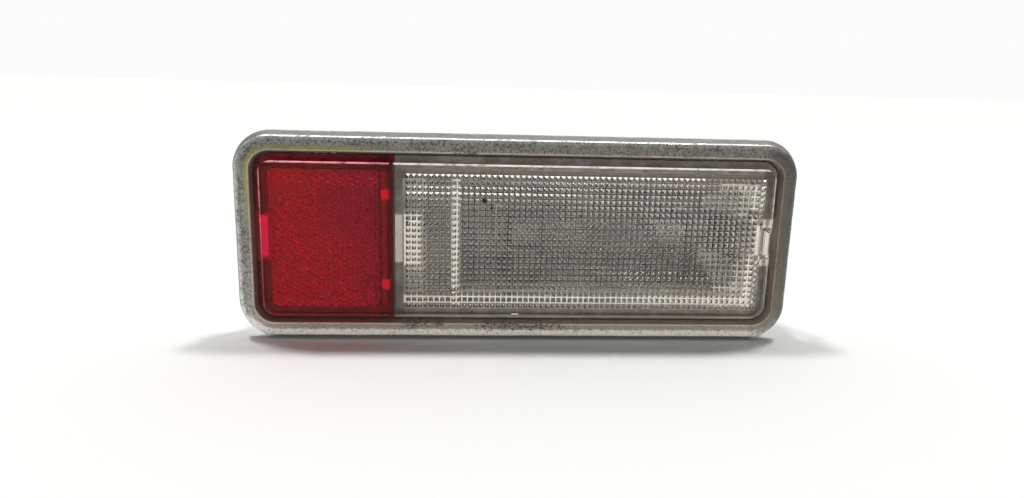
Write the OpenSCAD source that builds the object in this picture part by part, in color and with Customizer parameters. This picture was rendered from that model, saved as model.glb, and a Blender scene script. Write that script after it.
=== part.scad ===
// Car interior light: a cast frame round a red and a clear lens, over a
// moulded housing that holds a festoon bulb in a bright reflector.
// Sizes are millimetres. The pieces are drawn face up, with x to the right,
// y up and z towards the viewer, and stand_up() turns them so that the face
// looks along -Y. z = 0 is the plane of the panel that the light fits.

/* [Frame] */
// Overall length of the frame
frame_l = 111.2; // [106:0.2:118]
// Overall height of the frame
frame_h = 41.2; // [39:0.2:46]
// Width of the moulding, from its outer edge to the lip
rail_w = 4; // [3.6:0.1:4.4]
// Outer corner radius
frame_corner_r = 7.5; // [6.5:0.1:9]
// Height of the inner lip above the panel
lip_h = 3.2; // [2.8:0.1:4]
// Radius on the lip
lip_r = 0.25; // [0.1:0.05:0.4]
// Height of the outer crest above the panel
crest_h = 2.8; // [2.4:0.1:3.2]
// Radius on the crest
crest_r = 0.8; // [0.5:0.1:1.1]
// How far the outer flank leans in
flank_in = 0.65; // [0.3:0.05:0.9]
// Height of the upright edge under the flank
edge_h = 0.4; // [0.2:0.1:0.8]
// How far the backs of the short ends stay clear of the panel
end_relief = 0.3; // [0.1:0.1:0.6]
// Length of the end relief, from the frame's end
end_relief_l = 6.1; // [4.6:0.1:9]
// Width of the ledge between the opening and the skirt
ledge_w = 0.6; // [0.5:0.1:0.9]
// Thickness of the skirt behind the frame
skirt_t = 1; // [0.8:0.1:1.3]
// Depth of the skirt
skirt_d = 5; // [4:0.1:6]
// How far the gap in the skirt at the clip end stops short of the corners
skirt_gap_in = 0.9; // [0.1:0.1:1.3]
// Half width of the hook that goes behind the panel
nose_w = 6; // [3:0.5:10]
// Reach of that hook
nose_l = 2; // [1.2:0.1:2.4]
// Thickness of that hook
nose_t = 1.8; // [1.2:0.1:2.4]
// Thickest panel that the light fits
panel_t = 1.4; // [0.8:0.1:1.6]

/* [Frame screws] */
// Distance of the screw posts from the middle of the long side
post_x = 38; // [30:0.5:41]
// Radius of a post
post_r = 1.7; // [1.5:0.1:1.9]
// Length of a post behind the panel plane
post_d = 6.5; // [5:0.1:7]
// Radius of the screw's thread
screw_r = 1.1; // [0.9:0.05:1.2]
// Length of the screw under its head
screw_l = 6; // [4:0.5:7]
// Radius of the screw's head
screw_head_r = 1.9; // [1.6:0.1:2]
// Height of the screw's head
screw_head_t = 1.3; // [1:0.1:1.6]
// Radius of the washer
washer_r = 2.1; // [1.8:0.1:2.1]
// Thickness of the washer
washer_t = 0.5; // [0.3:0.1:0.8]
// Half width of an ear of the housing
ear_w = 3; // [2.6:0.1:4]
// Thickness of an ear
ear_t = 1.6; // [1.2:0.1:2.2]

/* [Lenses] */
// Width of the moat between the frame and the raised face, at the ends
moat_end = 1.6; // [1.4:0.1:3]
// Width of that moat along the long sides
moat_side = 1.4; // [1.2:0.1:2]
// Corner radius of the raised face
face_corner_r = 2.4; // [1.6:0.1:3]
// Radius on the edge of the raised face
face_edge_r = 0.5; // [0.3:0.1:0.7]
// Height of the raised face above the panel
face_z = 4.6; // [4:0.1:5.6]
// Thickness of the lens under the raised face
roof_t = 2; // [1.4:0.1:2.2]
// Thickness of the lens walls
lens_wall = 1.6; // [1.2:0.1:2]
// Thickness of the flange at the foot of the lenses
flange_t = 1.4; // [1:0.1:1.8]
// Where the red lens ends, left of the middle
red_end = 24.7; // [18:0.1:30]
// Gap between the red lens and the clear one
joint_gap = 0.1; // [0.05:0.05:0.2]
// Thickness of the red lens's wall at that end
red_end_wall = 1.3; // [1.1:0.1:1.6]
// Width of the low step at the red lens's end
step_w = 0.7; // [0.4:0.1:1]
// Depth of that step
step_d = 0.8; // [0.4:0.1:1.2]
// Half height of the hook leg on the red lens
hook_w = 4.2; // [3:0.1:5]
// Thickness of the hook leg, and of the snap leg
leg_t = 1.6; // [1.2:0.1:1.6]
// How far both legs stand in from the flange's ends
leg_in = 0.6; // [0.5:0.1:0.8]
// Reach of the hook's toe
toe_l = 1.2; // [0.9:0.1:1.3]
// Thickness of the hook's toe
toe_t = 1.2; // [0.8:0.1:1.3]
// Half height of the snap leg on the clear lens
snap_w = 3.1; // [2.4:0.1:3.4]
// Length of the snap leg behind the lens
snap_l = 5.6; // [5:0.1:6.5]
// Reach of the snap leg's barb
barb_l = 0.5; // [0.3:0.1:0.6]
// Height of the barb
barb_h = 1.8; // [1.4:0.1:2]
// Half height of the notch for a screwdriver
notch_w = 2.5; // [2:0.1:3]
// Depth of that notch in the raised face
notch_d = 0.5; // [0.3:0.1:0.7]
// Half spacing of the tongues that lap under the red lens
tongue_y = 9; // [7:0.5:11]
// Width of a tongue
tongue_w = 2; // [1.5:0.1:3]
// Length of a tongue past the red lens's end
tongue_l = 2.5; // [2:0.1:3]
// Thickness of a tongue
tongue_t = 1.3; // [0.8:0.1:1.5]
// Thickness of the plate behind the reflex lens
backing_t = 0.8; // [0.6:0.1:1]

/* [Housing] */
// Thickness of the housing's rim
rim_t = 1.6; // [1.2:0.1:1.6]
// How far the housing's body stands in from the skirt at the hook end
body_in_hook = 5.8; // [5.6:0.1:8]
// How far it stands in from the skirt at the clip end
body_in_clip = 3.8; // [3.8:0.1:5]
// How far it stands in from the skirt along the long sides
body_in_side = 3.8; // [3.7:0.1:4.4]
// Depth of the housing's body
body_d = 19.2; // [18.5:0.1:24]
// Corner radius of the housing's body
body_r = 2.5; // [2:0.1:4]
// Thickness of the housing's walls
wall_t = 1.6; // [1.2:0.1:1.8]
// Thickness of the housing's floor
floor_t = 1.7; // [1.4:0.1:2.2]
// How far the pillar under the joint of the lenses reaches behind the red one
pillar_under = 0.3; // [0.2:0.1:1]
// Width of that pillar
pillar_l = 5.6; // [4.5:0.1:6.2]
// Half height of that pillar
pillar_w = 5.3; // [4:0.1:6]
// Thickness of the partition beside the pillar
partition_t = 1.4; // [1:0.1:2]
// How far the partition's top lies behind the panel plane
partition_z = 9; // [6:0.5:12]
// Distance of the hook's slot from the housing's body
slot_off = 0.4; // [0.2:0.1:0.6]

/* [Catch] */
// Thickness of the catch's tongue
catch_t = 1.2; // [1:0.1:1.4]
// Half height of the catch
catch_w = 2.9; // [2:0.1:3]
// Distance of the catch's nose from the rim
catch_tip = 0.6; // [0.4:0.1:0.8]
// Height of the catch's nose
catch_nose_h = 1; // [0.8:0.1:1.1]
// How far the nose laps over the barb
catch_lap = 0.3; // [0.2:0.05:0.4]
// Distance of the catch's root from the mounting clip's bend
catch_up = 2.6; // [2.6:0.1:3.4]
// Thickness of the bracket that carries the catch
bracket_t = 1.6; // [1.2:0.1:1.6]
// How far the bracket reaches past the catch
bracket_lip = 0.6; // [0.3:0.1:0.8]
// How far the bracket's top lies behind the catch's root
bracket_drop = 0.2; // [0.1:0.05:0.3]

/* [Mounting clip] */
// Thickness of the spring strip
clip_t = 0.5; // [0.4:0.05:0.6]
// Inner edge of each spring leg, from the middle
clip_in = 5.2; // [4.6:0.1:6]
// Gap between each spring leg and the end of the skirt's gap
clip_gap = 0.6; // [0.4:0.1:2]
// Distance of the bend at the root from the housing's back
clip_up = 5.9; // [5.6:0.1:6]
// How far the legs' widest point lies behind the panel plane
clip_apex = 4.6; // [4:0.1:6]
// How far the legs' widest point stands out past the skirt
clip_reach = 2; // [1.4:0.1:2.2]
// How far the legs' tips lie behind the panel plane
clip_tip = 1.7; // [1.6:0.1:2.2]
// How far the legs' tips turn back in
clip_turn = 1.3; // [0.8:0.1:1.6]
// Radius of the bend at the widest point
clip_bend_r = 1.2; // [0.8:0.1:1.6]
// Radius of the bend at the root
clip_bead_r = 0.45; // [0.4:0.05:0.5]
// Distance of the bend from the housing's end
clip_stand = 1.1; // [1:0.1:1.3]
// Height of the riveted foot
foot_h = 4.1; // [3.6:0.1:4.6]
// Radius of a clip rivet
clip_rivet_r = 0.9; // [0.7:0.1:1]
// Radius of that rivet's heads
clip_head_r = 1.4; // [1.2:0.1:1.5]
// Height of that rivet's heads
clip_head_t = 0.6; // [0.4:0.1:0.8]
// Distance of that rivet from the foot's front edge
clip_rivet_at = 1.7; // [1.5:0.1:2]

/* [Bulb] */
// Distance of the bulb's end from the housing's body end
bulb_off = 11.1; // [10.9:0.1:14]
// Gap between the bulb's glass and the reflector
bulb_gap = 1.4; // [1.2:0.1:1.8]
// Length of the bulb over its caps
bulb_l = 41; // [38:0.5:42]
// Radius of the glass
glass_r = 5.5; // [5:0.1:5.6]
// Thickness of the glass
glass_t = 0.5; // [0.4:0.1:0.7]
// Radius of a cap
cap_r = 4.25; // [4:0.05:4.5]
// Thickness of a cap
cap_t = 0.25; // [0.2:0.05:0.35]
// Length of a cap's round wall
cap_l = 5.5; // [4.5:0.1:6]
// Length of a cap's cone
cone_l = 2.6; // [2:0.1:3]
// Radius at the cone's tip
tip_r = 1.3; // [1:0.1:1.5]
// Radius of the filament's coil
coil_r = 0.5; // [0.3:0.1:0.8]
// Length of the filament's coil
coil_l = 12; // [8:0.5:16]
// Radius of the lead wires
lead_r = 0.25; // [0.2:0.05:0.3]

/* [Contacts] */
// Thickness of a contact leaf
leaf_t = 0.4; // [0.3:0.05:0.5]
// Half width of a contact leaf
leaf_w = 4; // [3.5:0.1:4.2]
// How far the cap's tip stands through the leaf
tip_through = 0.3; // [0.2:0.05:0.4]
// Distance of a leaf's root from the bulb's axis
leaf_down = 5.4; // [5:0.1:5.6]
// Distance of a leaf's free end from the bulb's axis
leaf_up = 4; // [3.6:0.1:4.6]
// Radius of the bead at a leaf's root
leaf_bead_r = 0.5; // [0.4:0.05:0.5]
// Thickness of a terminal
blade_t = 0.8; // [0.6:0.1:0.8]
// Width of a terminal blade
blade_w = 6.3; // [4.8:0.1:6.3]
// Length of a terminal blade behind the housing
blade_l = 9; // [7:0.5:10]
// Radius of the locking hole in a blade
blade_hole_r = 0.9; // [0.7:0.1:1.1]
// Distance of that hole from the blade's end
blade_hole_at = 3.6; // [3:0.1:4.2]
// Length of a terminal's foot along the housing
terminal_l = 9; // [8.5:0.1:9.4]
// Radius of a contact rivet
rivet_r = 1.4; // [1.1:0.1:1.5]
// Radius of the heads of a contact rivet
rivet_head_r = 2.3; // [2:0.1:2.5]
// Height of a rivet's head
rivet_head_t = 0.7; // [0.5:0.1:0.7]

/* [Reflector] */
// How far the reflector reaches past the bulb's end on the left
tray_past = 9.9; // [8.8:0.1:10.3]
// Gap between the reflector and the housing
tray_gap = 0.2; // [0.1:0.05:0.3]
// Thickness of the reflector sheet
sheet_t = 0.5; // [0.4:0.05:0.6]
// Width of the reflector's flange
tray_flange = 0.8; // [0.5:0.1:1.2]
// How far the reflector's flange lies behind the panel plane
tray_top = 2.9; // [2.8:0.1:3.2]
// Gap between the reflector and the housing's floor
tray_lift = 1.5; // [1.2:0.1:1.7]
// Half height of the reflector's floor
tray_floor_w = 6.4; // [5.6:0.1:7]
// How far the left end slopes in
tray_slope = 4; // [2.5:0.1:4.5]
// How far the right end curves in
tray_curve = 6.5; // [5:0.1:6.6]
// Distance of the reflector's screws from the bulb's middle
tray_screw_x = 12; // [9:0.5:14]
// Radius of the reflector's screws
tray_screw_r = 0.9; // [0.8:0.05:1]
// Length of those screws under the sheet
tray_screw_l = 2; // [1.5:0.1:2.3]
// Radius of those screws' heads
tray_head_r = 1.8; // [1.5:0.1:2]
// Height of those screws' heads
tray_head_t = 0.8; // [0.6:0.1:0.9]
// Room in the reflector's floor on each side of a contact
tray_slot = 0.9; // [0.6:0.1:1.1]
// Radius of the bosses under the reflector
boss_r = 2.6; // [2:0.1:3]

/* [Clearances] */
// Lens flange to frame
lens_fit = 0.3; // [0.2:0.05:0.4]
// Housing rim to skirt
rim_fit = 0.1; // [0.05:0.05:0.2]
// Between parts that turn in one another
run_fit = 0.05; // [0.02:0.01:0.08]
// Between parts that lie side by side
side_fit = 0.1; // [0.05:0.05:0.2]
// Round a leg or a post that passes through a cut-out
pass_fit = 0.3; // [0.2:0.05:0.4]

/* [Hidden] */
$fn = 64;
// Overlap that keeps cuts clean
cut = 0.5;

// Outline that all parts of the frame share, by its four corner centres
corner_x = frame_l / 2 - frame_corner_r;
corner_y = frame_h / 2 - frame_corner_r;
open_r = frame_corner_r - rail_w;
skirt_in_r = open_r + ledge_w;
skirt_out_r = skirt_in_r + skirt_t;
rim_r = skirt_in_r - rim_fit;
flange_r = open_r - lens_fit;
end_relief_x = frame_l / 2 - end_relief_l;
skirt_gap = corner_y - skirt_gap_in;

// Lens outline
face_l = frame_l - 2 * (rail_w + moat_end);
face_h = frame_h - 2 * (rail_w + moat_side);
face_x = face_l / 2 - face_corner_r;
face_y = face_h / 2 - face_corner_r;
flange_x = corner_x + flange_r;
pocket_x = face_l / 2 - lens_wall;
pocket_y = face_h / 2 - lens_wall;
roof_z = face_z - roof_t;
clear_end = red_end - joint_gap;
hook_x = [-flange_x + leg_in, -flange_x + leg_in + leg_t];
snap_x = [flange_x - leg_in - leg_t, flange_x - leg_in];
toe_z = -rim_t - side_fit;

// Housing
body_left = corner_x + skirt_in_r - body_in_hook;
body_right = corner_x + skirt_in_r - body_in_clip;
body_h = corner_y + skirt_in_r - body_in_side;
pillar_left = red_end + pillar_under;
pillar_right = pillar_left - pillar_l;
slot_right = body_left + slot_off;
cavity_z = floor_t - body_d;
cavity_x = [wall_t - body_left, body_right - wall_t];
cavity_y = body_h - wall_t;
post_y = corner_y + skirt_in_r - post_r + side_fit;
clip_edge = snap_x[1] + side_fit;

// Catch and clip
clip_root = body_d - clip_up;
catch_root = clip_root - catch_up;
clip_out = skirt_gap - clip_gap;
catch_x = snap_x[1] + barb_l + pass_fit;
catch_mid = catch_x + catch_t / 2;
barb_top = -rim_t - catch_tip - catch_nose_h - side_fit;
bracket_top = -catch_root - bracket_drop;

// Mounting clip, as the points of its middle line
clip_bead = [body_right + clip_stand, -clip_root];
clip_peak = [corner_x + skirt_out_r + clip_reach, -clip_apex];
clip_end = [clip_peak[0] - clip_turn, -clip_tip];
clip_line = concat([clip_bead], bend(clip_bead, clip_peak, clip_end, clip_bend_r, 6), [clip_end]);
foot_top = -clip_root - clip_bead_r - 2 * run_fit;
foot_t = clip_t + side_fit;
foot_rivet_z = foot_top - clip_rivet_at;
clip_rivet_y = (clip_in + clip_out) / 2;

// Bulb and contacts, measured along the bulb from its middle
half_bulb = bulb_l / 2;
bulb_x = body_right - bulb_off - half_bulb;
tray_floor = body_d - floor_t - tray_lift - sheet_t;
bulb_z = tray_floor - bulb_gap - glass_r;
leaf_root = bulb_z + leaf_down;
leaf_end = bulb_z - leaf_up;
cone_at = half_bulb - cone_l;
cap_at = cone_at - cap_l;
leaf_out = half_bulb - tip_through;
leaf_in = leaf_out - leaf_t;
leaf_mid = leaf_in + leaf_t / 2;
leaf_hole_r = tip_r + (cap_r - tip_r) * (half_bulb - leaf_in) / cone_l + 3 * run_fit;
upright_top = -leaf_root - leaf_bead_r - 2 * run_fit;
upright_in = leaf_mid - blade_t / 2;
rivet_at = leaf_mid + terminal_l / 2;

// Reflector
tray_y = cavity_y - tray_gap;
tray_x = [bulb_x - half_bulb - tray_past, cavity_x[1] - tray_gap];
tray_bottom = -tray_floor - sheet_t;

// Points of an arc about c
function arc(c, r, a0, a1, n) =
    [for (i = [0:n]) let (a = a0 + (a1 - a0) * i / n) c + r * [cos(a), sin(a)]];

function unit(v) = v / norm(v);
function flip(p) = [for (i = [len(p) - 1:-1:0]) p[i]];

// Points at a distance h beside the line through the points p
function beside(p, h) = [for (i = [0:len(p) - 1]) let (
    before = unit(i > 0 ? p[i] - p[i - 1] : p[1] - p[0]),
    after = i < len(p) - 1 ? unit(p[i + 1] - p[i]) : before,
    along = unit(before + after))
    p[i] + [-along[1], along[0]] * h / (along * before)];

// Points of the arc of radius r that rounds the corner b between a and c
function bend(a, b, c, r, n) = let (
    half = acos(unit(a - b) * unit(c - b)) / 2,
    middle = b + unit(unit(a - b) + unit(c - b)) * r / sin(half),
    toward = b - middle,
    mid_angle = atan2(toward[1], toward[0]))
    arc(middle, r, mid_angle - 90 + half, mid_angle + 90 - half, n);

module stand_up() {
    rotate([90, 0, 0]) children();
}

// Box between two limits on each axis
module block(x, y, z) {
    translate([x[0], y[0], z[0]]) cube([x[1] - x[0], y[1] - y[0], z[1] - z[0]]);
}

// Rounded rectangle whose corner centres lie at kx, ky
module rounded_rect(kx, ky, r) {
    square([2 * (kx + r), 2 * ky], center = true);
    square([2 * kx, 2 * (ky + r)], center = true);
    for (sx = [-1, 1], sy = [-1, 1]) translate([sx * kx, sy * ky]) circle(r);
}

module slab(kx, ky, r, z) {
    translate([0, 0, z[0]]) linear_extrude(z[1] - z[0]) rounded_rect(kx, ky, r);
}

// Sweeps a profile round four corner centres. The profile's x is its distance
// out from a corner centre, and its y is its height.
module swept_ring(kx, ky) {
    starts = [[kx, ky], [-kx, ky], [-kx, -ky], [kx, -ky]];
    for (i = [0:3]) translate(starts[i]) rotate([0, 0, 90 * i]) {
        rotate_extrude(angle = 90) children();
        rotate([90, 0, 0]) linear_extrude(2 * (i % 2 == 0 ? ky : kx)) children();
    }
}

// Turns a profile drawn in x and z into a strip across y
module strip(y) {
    translate([0, y[1], 0]) rotate([90, 0, 0]) linear_extrude(y[1] - y[0]) children();
}

// Outline of a strip of sheet that follows the points p
module sheet_run(p, t) {
    polygon(concat(beside(p, t / 2), flip(beside(p, -t / 2))));
}

module at_posts() {
    for (sx = [-1, 1], sy = [-1, 1]) translate([sx * post_x, sy * post_y, 0])
        rotate([0, 0, sy > 0 ? 0 : 180]) children();
}

// Cross-section of the frame's moulding, from the corner centre outwards
module rail_profile() {
    crest = [frame_corner_r - flank_in - crest_r, crest_h - crest_r];
    lip = [open_r + lip_r, lip_h - lip_r];
    polygon(concat(
        [[open_r, 0], [frame_corner_r, 0], [frame_corner_r, edge_h]],
        arc(crest, crest_r, 15, 80, 6),
        arc(lip, lip_r, 80, 180, 4)));
}

module bezel_frame() color([0.52, 0.53, 0.50]) stand_up() {
    outer_x = corner_x + frame_corner_r;
    skirt_x = corner_x + skirt_out_r;
    difference() {
        union() {
            swept_ring(corner_x, corner_y) rail_profile();
            difference() {
                slab(corner_x, corner_y, skirt_out_r, [-skirt_d, cut]);
                slab(corner_x, corner_y, skirt_in_r, [-skirt_d - cut, 0]);
                slab(corner_x, corner_y, open_r, [-cut, 2 * cut]);
                block([corner_x, skirt_x + cut], [-skirt_gap, skirt_gap], [-skirt_d - cut, 0]);
            }
            block([-skirt_x - nose_l, -skirt_x + skirt_t / 2], [-nose_w, nose_w],
                  [-panel_t - nose_t - side_fit, -panel_t - side_fit]);
            at_posts() {
                translate([0, 0, -post_d]) cylinder(h = post_d, r = post_r);
                block([-0.7 * post_r, 0.7 * post_r], [0, post_r + skirt_t / 2], [-skirt_d, 0]);
            }
        }
        for (side = [-1, 1]) difference() {
            translate([side * (outer_x + end_relief_x) / 2, 0, end_relief / 2 - cut / 2])
                cube([outer_x - end_relief_x + cut, frame_h + cut, end_relief + cut], center = true);
            slab(corner_x, corner_y, skirt_out_r, [-frame_h, frame_h]);
            block([-outer_x, -skirt_x], [-nose_w - cut, nose_w + cut], [-skirt_d, -panel_t / 2]);
        }
        at_posts() translate([0, 0, -post_d - cut])
            cylinder(h = screw_l - ear_t - washer_t + 2 * cut, r = screw_r + run_fit);
    }
}

module frame_screws() color([0.62, 0.60, 0.55]) stand_up() {
    head_z = -post_d - ear_t - washer_t;
    at_posts() difference() {
        union() {
            translate([0, 0, head_z]) cylinder(h = screw_l, r = screw_r);
            translate([0, 0, head_z - screw_head_t]) cylinder(h = screw_head_t, r = screw_head_r);
        }
        for (a = [0, 90]) rotate([0, 0, a])
            block([-screw_r, screw_r], [-screw_r / 4, screw_r / 4],
                  [head_z - screw_head_t - cut, head_z - screw_head_t / 2]);
    }
}

module screw_washers() color([0.70, 0.70, 0.68]) stand_up() {
    at_posts() translate([0, 0, -post_d - ear_t - washer_t]) difference() {
        cylinder(h = washer_t, r = washer_r);
        translate([0, 0, -cut]) cylinder(h = washer_t + 2 * cut, r = screw_r + side_fit);
    }
}

// Raised face and flange of both lenses, as one solid block
module lens_blank() {
    edge_in = face_corner_r - face_edge_r;
    slab(corner_x, corner_y, flange_r, [0, flange_t]);
    slab(face_x, face_y, face_corner_r, [flange_t - cut, face_z - face_edge_r]);
    slab(face_x, face_y, edge_in, [flange_t, face_z]);
    swept_ring(face_x, face_y) translate([edge_in, face_z - face_edge_r])
        intersection() {
            circle(face_edge_r);
            square(face_edge_r);
        }
}

module tongues(grow) {
    for (side = [-1, 1]) block(
        [-red_end - tongue_l - grow, -clear_end + lens_wall / 2],
        [side * tongue_y - tongue_w / 2 - grow, side * tongue_y + tongue_w / 2 + grow],
        [roof_z - tongue_t - side_fit - grow, roof_z - side_fit + grow]);
}

module red_lens() color([0.62, 0.04, 0.06, 0.85]) stand_up() {
    difference() {
        intersection() {
            lens_blank();
            block([-frame_l, -red_end], [-frame_h, frame_h], [-cut, face_z + cut]);
        }
        block([-pocket_x, -red_end - red_end_wall], [-pocket_y, pocket_y], [-cut, roof_z]);
        block([-red_end - step_w, cut - red_end], [-frame_h, frame_h], [face_z - step_d, face_z + cut]);
        tongues(side_fit);
    }
    block(hook_x, [-hook_w, hook_w], [toe_z - toe_t, flange_t / 2]);
    block([hook_x[0] - toe_l, hook_x[1]], [-hook_w, hook_w], [toe_z - toe_t, toe_z]);
}

module clear_lens() color([0.80, 0.79, 0.76, 0.5]) stand_up() {
    difference() {
        intersection() {
            lens_blank();
            block([-clear_end, frame_l], [-frame_h, frame_h], [-cut, face_z + cut]);
        }
        block([-clear_end + lens_wall, pocket_x], [-pocket_y, pocket_y], [-cut, roof_z]);
        block([face_l / 2 - notch_d, frame_l], [-notch_w, notch_w], [-cut, face_z + cut]);
    }
    tongues(0);
    difference() {
        block(snap_x, [-snap_w, snap_w], [-snap_l, flange_t / 2]);
        block([face_l / 2 - notch_d, frame_l], [-notch_w, notch_w], [0, face_z]);
    }
    strip([-snap_w, snap_w]) polygon([
        [snap_x[1], barb_top], [snap_x[1] + barb_l, barb_top],
        [snap_x[1], barb_top - barb_h], [snap_x[0], barb_top - barb_h], [snap_x[0], barb_top]]);
}

module reflex_backing() color([0.82, 0.80, 0.76]) stand_up() {
    block([-pocket_x + side_fit, -red_end - tongue_l - pass_fit],
          [-pocket_y + side_fit, pocket_y - side_fit], [side_fit, side_fit + backing_t]);
}

// Groove or bead about the catch's root
module catch_bead(r, w) {
    translate([catch_mid, w, -catch_root]) rotate([90, 0, 0]) cylinder(h = 2 * w, r = r);
}

module housing_tub() color([0.90, 0.88, 0.83]) stand_up() {
    body_mid = (body_right - body_left) / 2;
    body_half = (body_right + body_left) / 2;
    difference() {
        union() {
            difference() {
                union() {
                    slab(corner_x, corner_y, rim_r, [-rim_t, 0]);
                    translate([body_mid, 0, 0])
                        slab(body_half - body_r, body_h - body_r, body_r, [-body_d, -rim_t / 2]);
                    at_posts() block([-ear_w, ear_w], [body_h - wall_t / 2 - post_y, post_r],
                                     [-post_d - ear_t, -post_d]);
                    block([body_right - wall_t / 2, catch_x + catch_t + bracket_lip],
                          [-catch_w, catch_w], [bracket_top - bracket_t, bracket_top]);
                }
                block(cavity_x, [-cavity_y, cavity_y], [cavity_z, cut]);
            }
            block([-pillar_left, -pillar_right], [-pillar_w, pillar_w], [cavity_z - cut, 0]);
            block([-pillar_left, -pillar_left + partition_t],
                  [-cavity_y - cut, cavity_y + cut], [cavity_z - cut, -partition_z]);
            for (side = [-1, 1]) translate([bulb_x + side * tray_screw_x, 0, cavity_z - cut])
                cylinder(h = tray_bottom - cavity_z + cut, r = boss_r);
        }
        block([hook_x[0] - pass_fit, -slot_right], [-hook_w - pass_fit, hook_w + pass_fit],
              [-rim_t - cut, cut]);
        block([snap_x[0] - pass_fit, frame_l], [-snap_w - pass_fit, snap_w + pass_fit],
              [-rim_t - cut, cut]);
        block([clip_edge, frame_l], [-skirt_gap, skirt_gap], [-rim_t - cut, cut]);
        at_posts() {
            translate([0, 0, -rim_t - cut]) cylinder(h = rim_t + 2 * cut, r = post_r + pass_fit);
            block([-post_r - pass_fit, post_r + pass_fit], [0, frame_h], [-rim_t - cut, cut]);
            translate([0, 0, -post_d - ear_t - cut])
                cylinder(h = ear_t + 2 * cut, r = screw_r + side_fit);
        }
        catch_bead(catch_t / 2 + run_fit, catch_w + cut);
        block([-pillar_left + wall_t, -pillar_right - wall_t], [wall_t - pillar_w, pillar_w - wall_t],
              [-body_d - cut, -wall_t]);
        for (side = [-1, 1]) translate([bulb_x, 0, 0]) {
            translate([side * tray_screw_x, 0, floor_t / 3 - body_d])
                cylinder(h = body_d, r = tray_screw_r + run_fit);
            translate([side * rivet_at, 0, -body_d - cut])
                cylinder(h = floor_t + 2 * cut, r = rivet_r + run_fit);
            translate([side * leaf_mid, 0, -body_d])
                cube([blade_t + 2 * side_fit, blade_w + 2 * side_fit, 3 * floor_t], center = true);
            translate([body_right - wall_t - cut - bulb_x, side * clip_rivet_y, foot_rivet_z])
                rotate([0, 90, 0]) cylinder(h = wall_t + 2 * cut, r = clip_rivet_r + run_fit);
        }
    }
}

// The tongue bends at its root, where a round bead turns in the bracket
module lens_catch() color([0.90, 0.88, 0.83]) stand_up() {
    tip_z = -rim_t - catch_tip;
    nose_x = snap_x[1] + barb_l - catch_lap;
    strip([-catch_w, catch_w]) {
        translate([catch_mid, -catch_root]) circle(catch_t / 2);
        polygon([
            [catch_x, -catch_root], [catch_x + catch_t, -catch_root], [catch_x + catch_t, tip_z],
            [catch_x, tip_z], [nose_x, tip_z - catch_nose_h / 2],
            [nose_x, tip_z - catch_nose_h], [catch_x, tip_z - catch_nose_h]]);
    }
}

module clip_foot() color([0.45, 0.46, 0.47]) stand_up() {
    difference() {
        block([body_right, body_right + foot_t], [-clip_out, clip_out], [foot_top - foot_h, foot_top]);
        for (side = [-1, 1]) translate([body_right - cut, side * clip_rivet_y, foot_rivet_z])
            rotate([0, 90, 0]) cylinder(h = foot_t + 2 * cut, r = clip_rivet_r + run_fit);
    }
}

// Two spring legs on one rolled root
module mounting_clip() color([0.45, 0.46, 0.47]) stand_up() {
    translate([clip_bead[0], clip_out, clip_bead[1]])
        rotate([90, 0, 0]) cylinder(h = 2 * clip_out, r = clip_bead_r);
    for (side = [-1, 1]) strip(side > 0 ? [clip_in, clip_out] : [-clip_out, -clip_in])
        sheet_run(clip_line, clip_t);
}

module clip_rivets() color([0.72, 0.72, 0.70]) stand_up() {
    for (side = [-1, 1]) translate([body_right, side * clip_rivet_y, foot_rivet_z]) rotate([0, 90, 0]) {
        translate([0, 0, -wall_t - clip_head_t])
            cylinder(h = wall_t + foot_t + 2 * clip_head_t, r = clip_rivet_r);
        translate([0, 0, -wall_t - clip_head_t]) cylinder(h = clip_head_t, r = clip_head_r);
        translate([0, 0, foot_t]) cylinder(h = clip_head_t, r = clip_head_r);
    }
}

// Solid of the reflector tray, drawn in by t on every side but its top
module tray_solid(t, top) {
    left = tray_x[0] + tray_flange + t;
    right = tray_x[1] - tray_flange - t;
    half = tray_y - tray_flange - t;
    low = tray_bottom + t;
    rise = top - low;
    intersection() {
        translate([left - cut, 0, 0]) rotate([90, 0, 90]) linear_extrude(right - left + 2 * cut)
            polygon([[-half, top], [half, top], [tray_floor_w, low], [-tray_floor_w, low]]);
        strip([-half - cut, half + cut]) polygon(concat(
            [[left, top], [left + tray_slope, low]],
            [for (a = [-90:15:0]) [right - tray_curve * (1 - cos(a)), top + rise * sin(a)]]));
    }
}

module reflector() color([0.66, 0.65, 0.61]) stand_up() {
    difference() {
        union() {
            tray_solid(0, -tray_top);
            block(tray_x, [-tray_y, tray_y], [-tray_top - sheet_t, -tray_top]);
        }
        tray_solid(sheet_t, -tray_top + cut);
        for (side = [-1, 1]) translate([bulb_x, 0, tray_bottom]) {
            translate([side * tray_screw_x, 0, -cut])
                cylinder(h = sheet_t + 2 * cut, r = tray_screw_r + side_fit);
            translate([side * leaf_mid, 0, 0])
                cube([blade_t + 2 * tray_slot, 2 * (leaf_w + pass_fit), tray_floor], center = true);
        }
    }
}

module reflector_screws() color([0.62, 0.60, 0.55]) stand_up() {
    for (side = [-1, 1]) translate([bulb_x + side * tray_screw_x, 0, -tray_floor]) difference() {
        union() {
            translate([0, 0, -sheet_t - tray_screw_l])
                cylinder(h = sheet_t + tray_screw_l + tray_head_t / 2, r = tray_screw_r);
            cylinder(h = tray_head_t, r = tray_head_r);
        }
        block([-tray_head_r, tray_head_r], [-tray_screw_r / 4, tray_screw_r / 4],
              [tray_head_t / 2, tray_head_t + cut]);
    }
}

// Places a shape that is drawn along +z from the bulb's middle
module on_bulb(side) {
    translate([bulb_x, 0, -bulb_z]) rotate([0, 90 * side, 0]) children();
}

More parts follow.
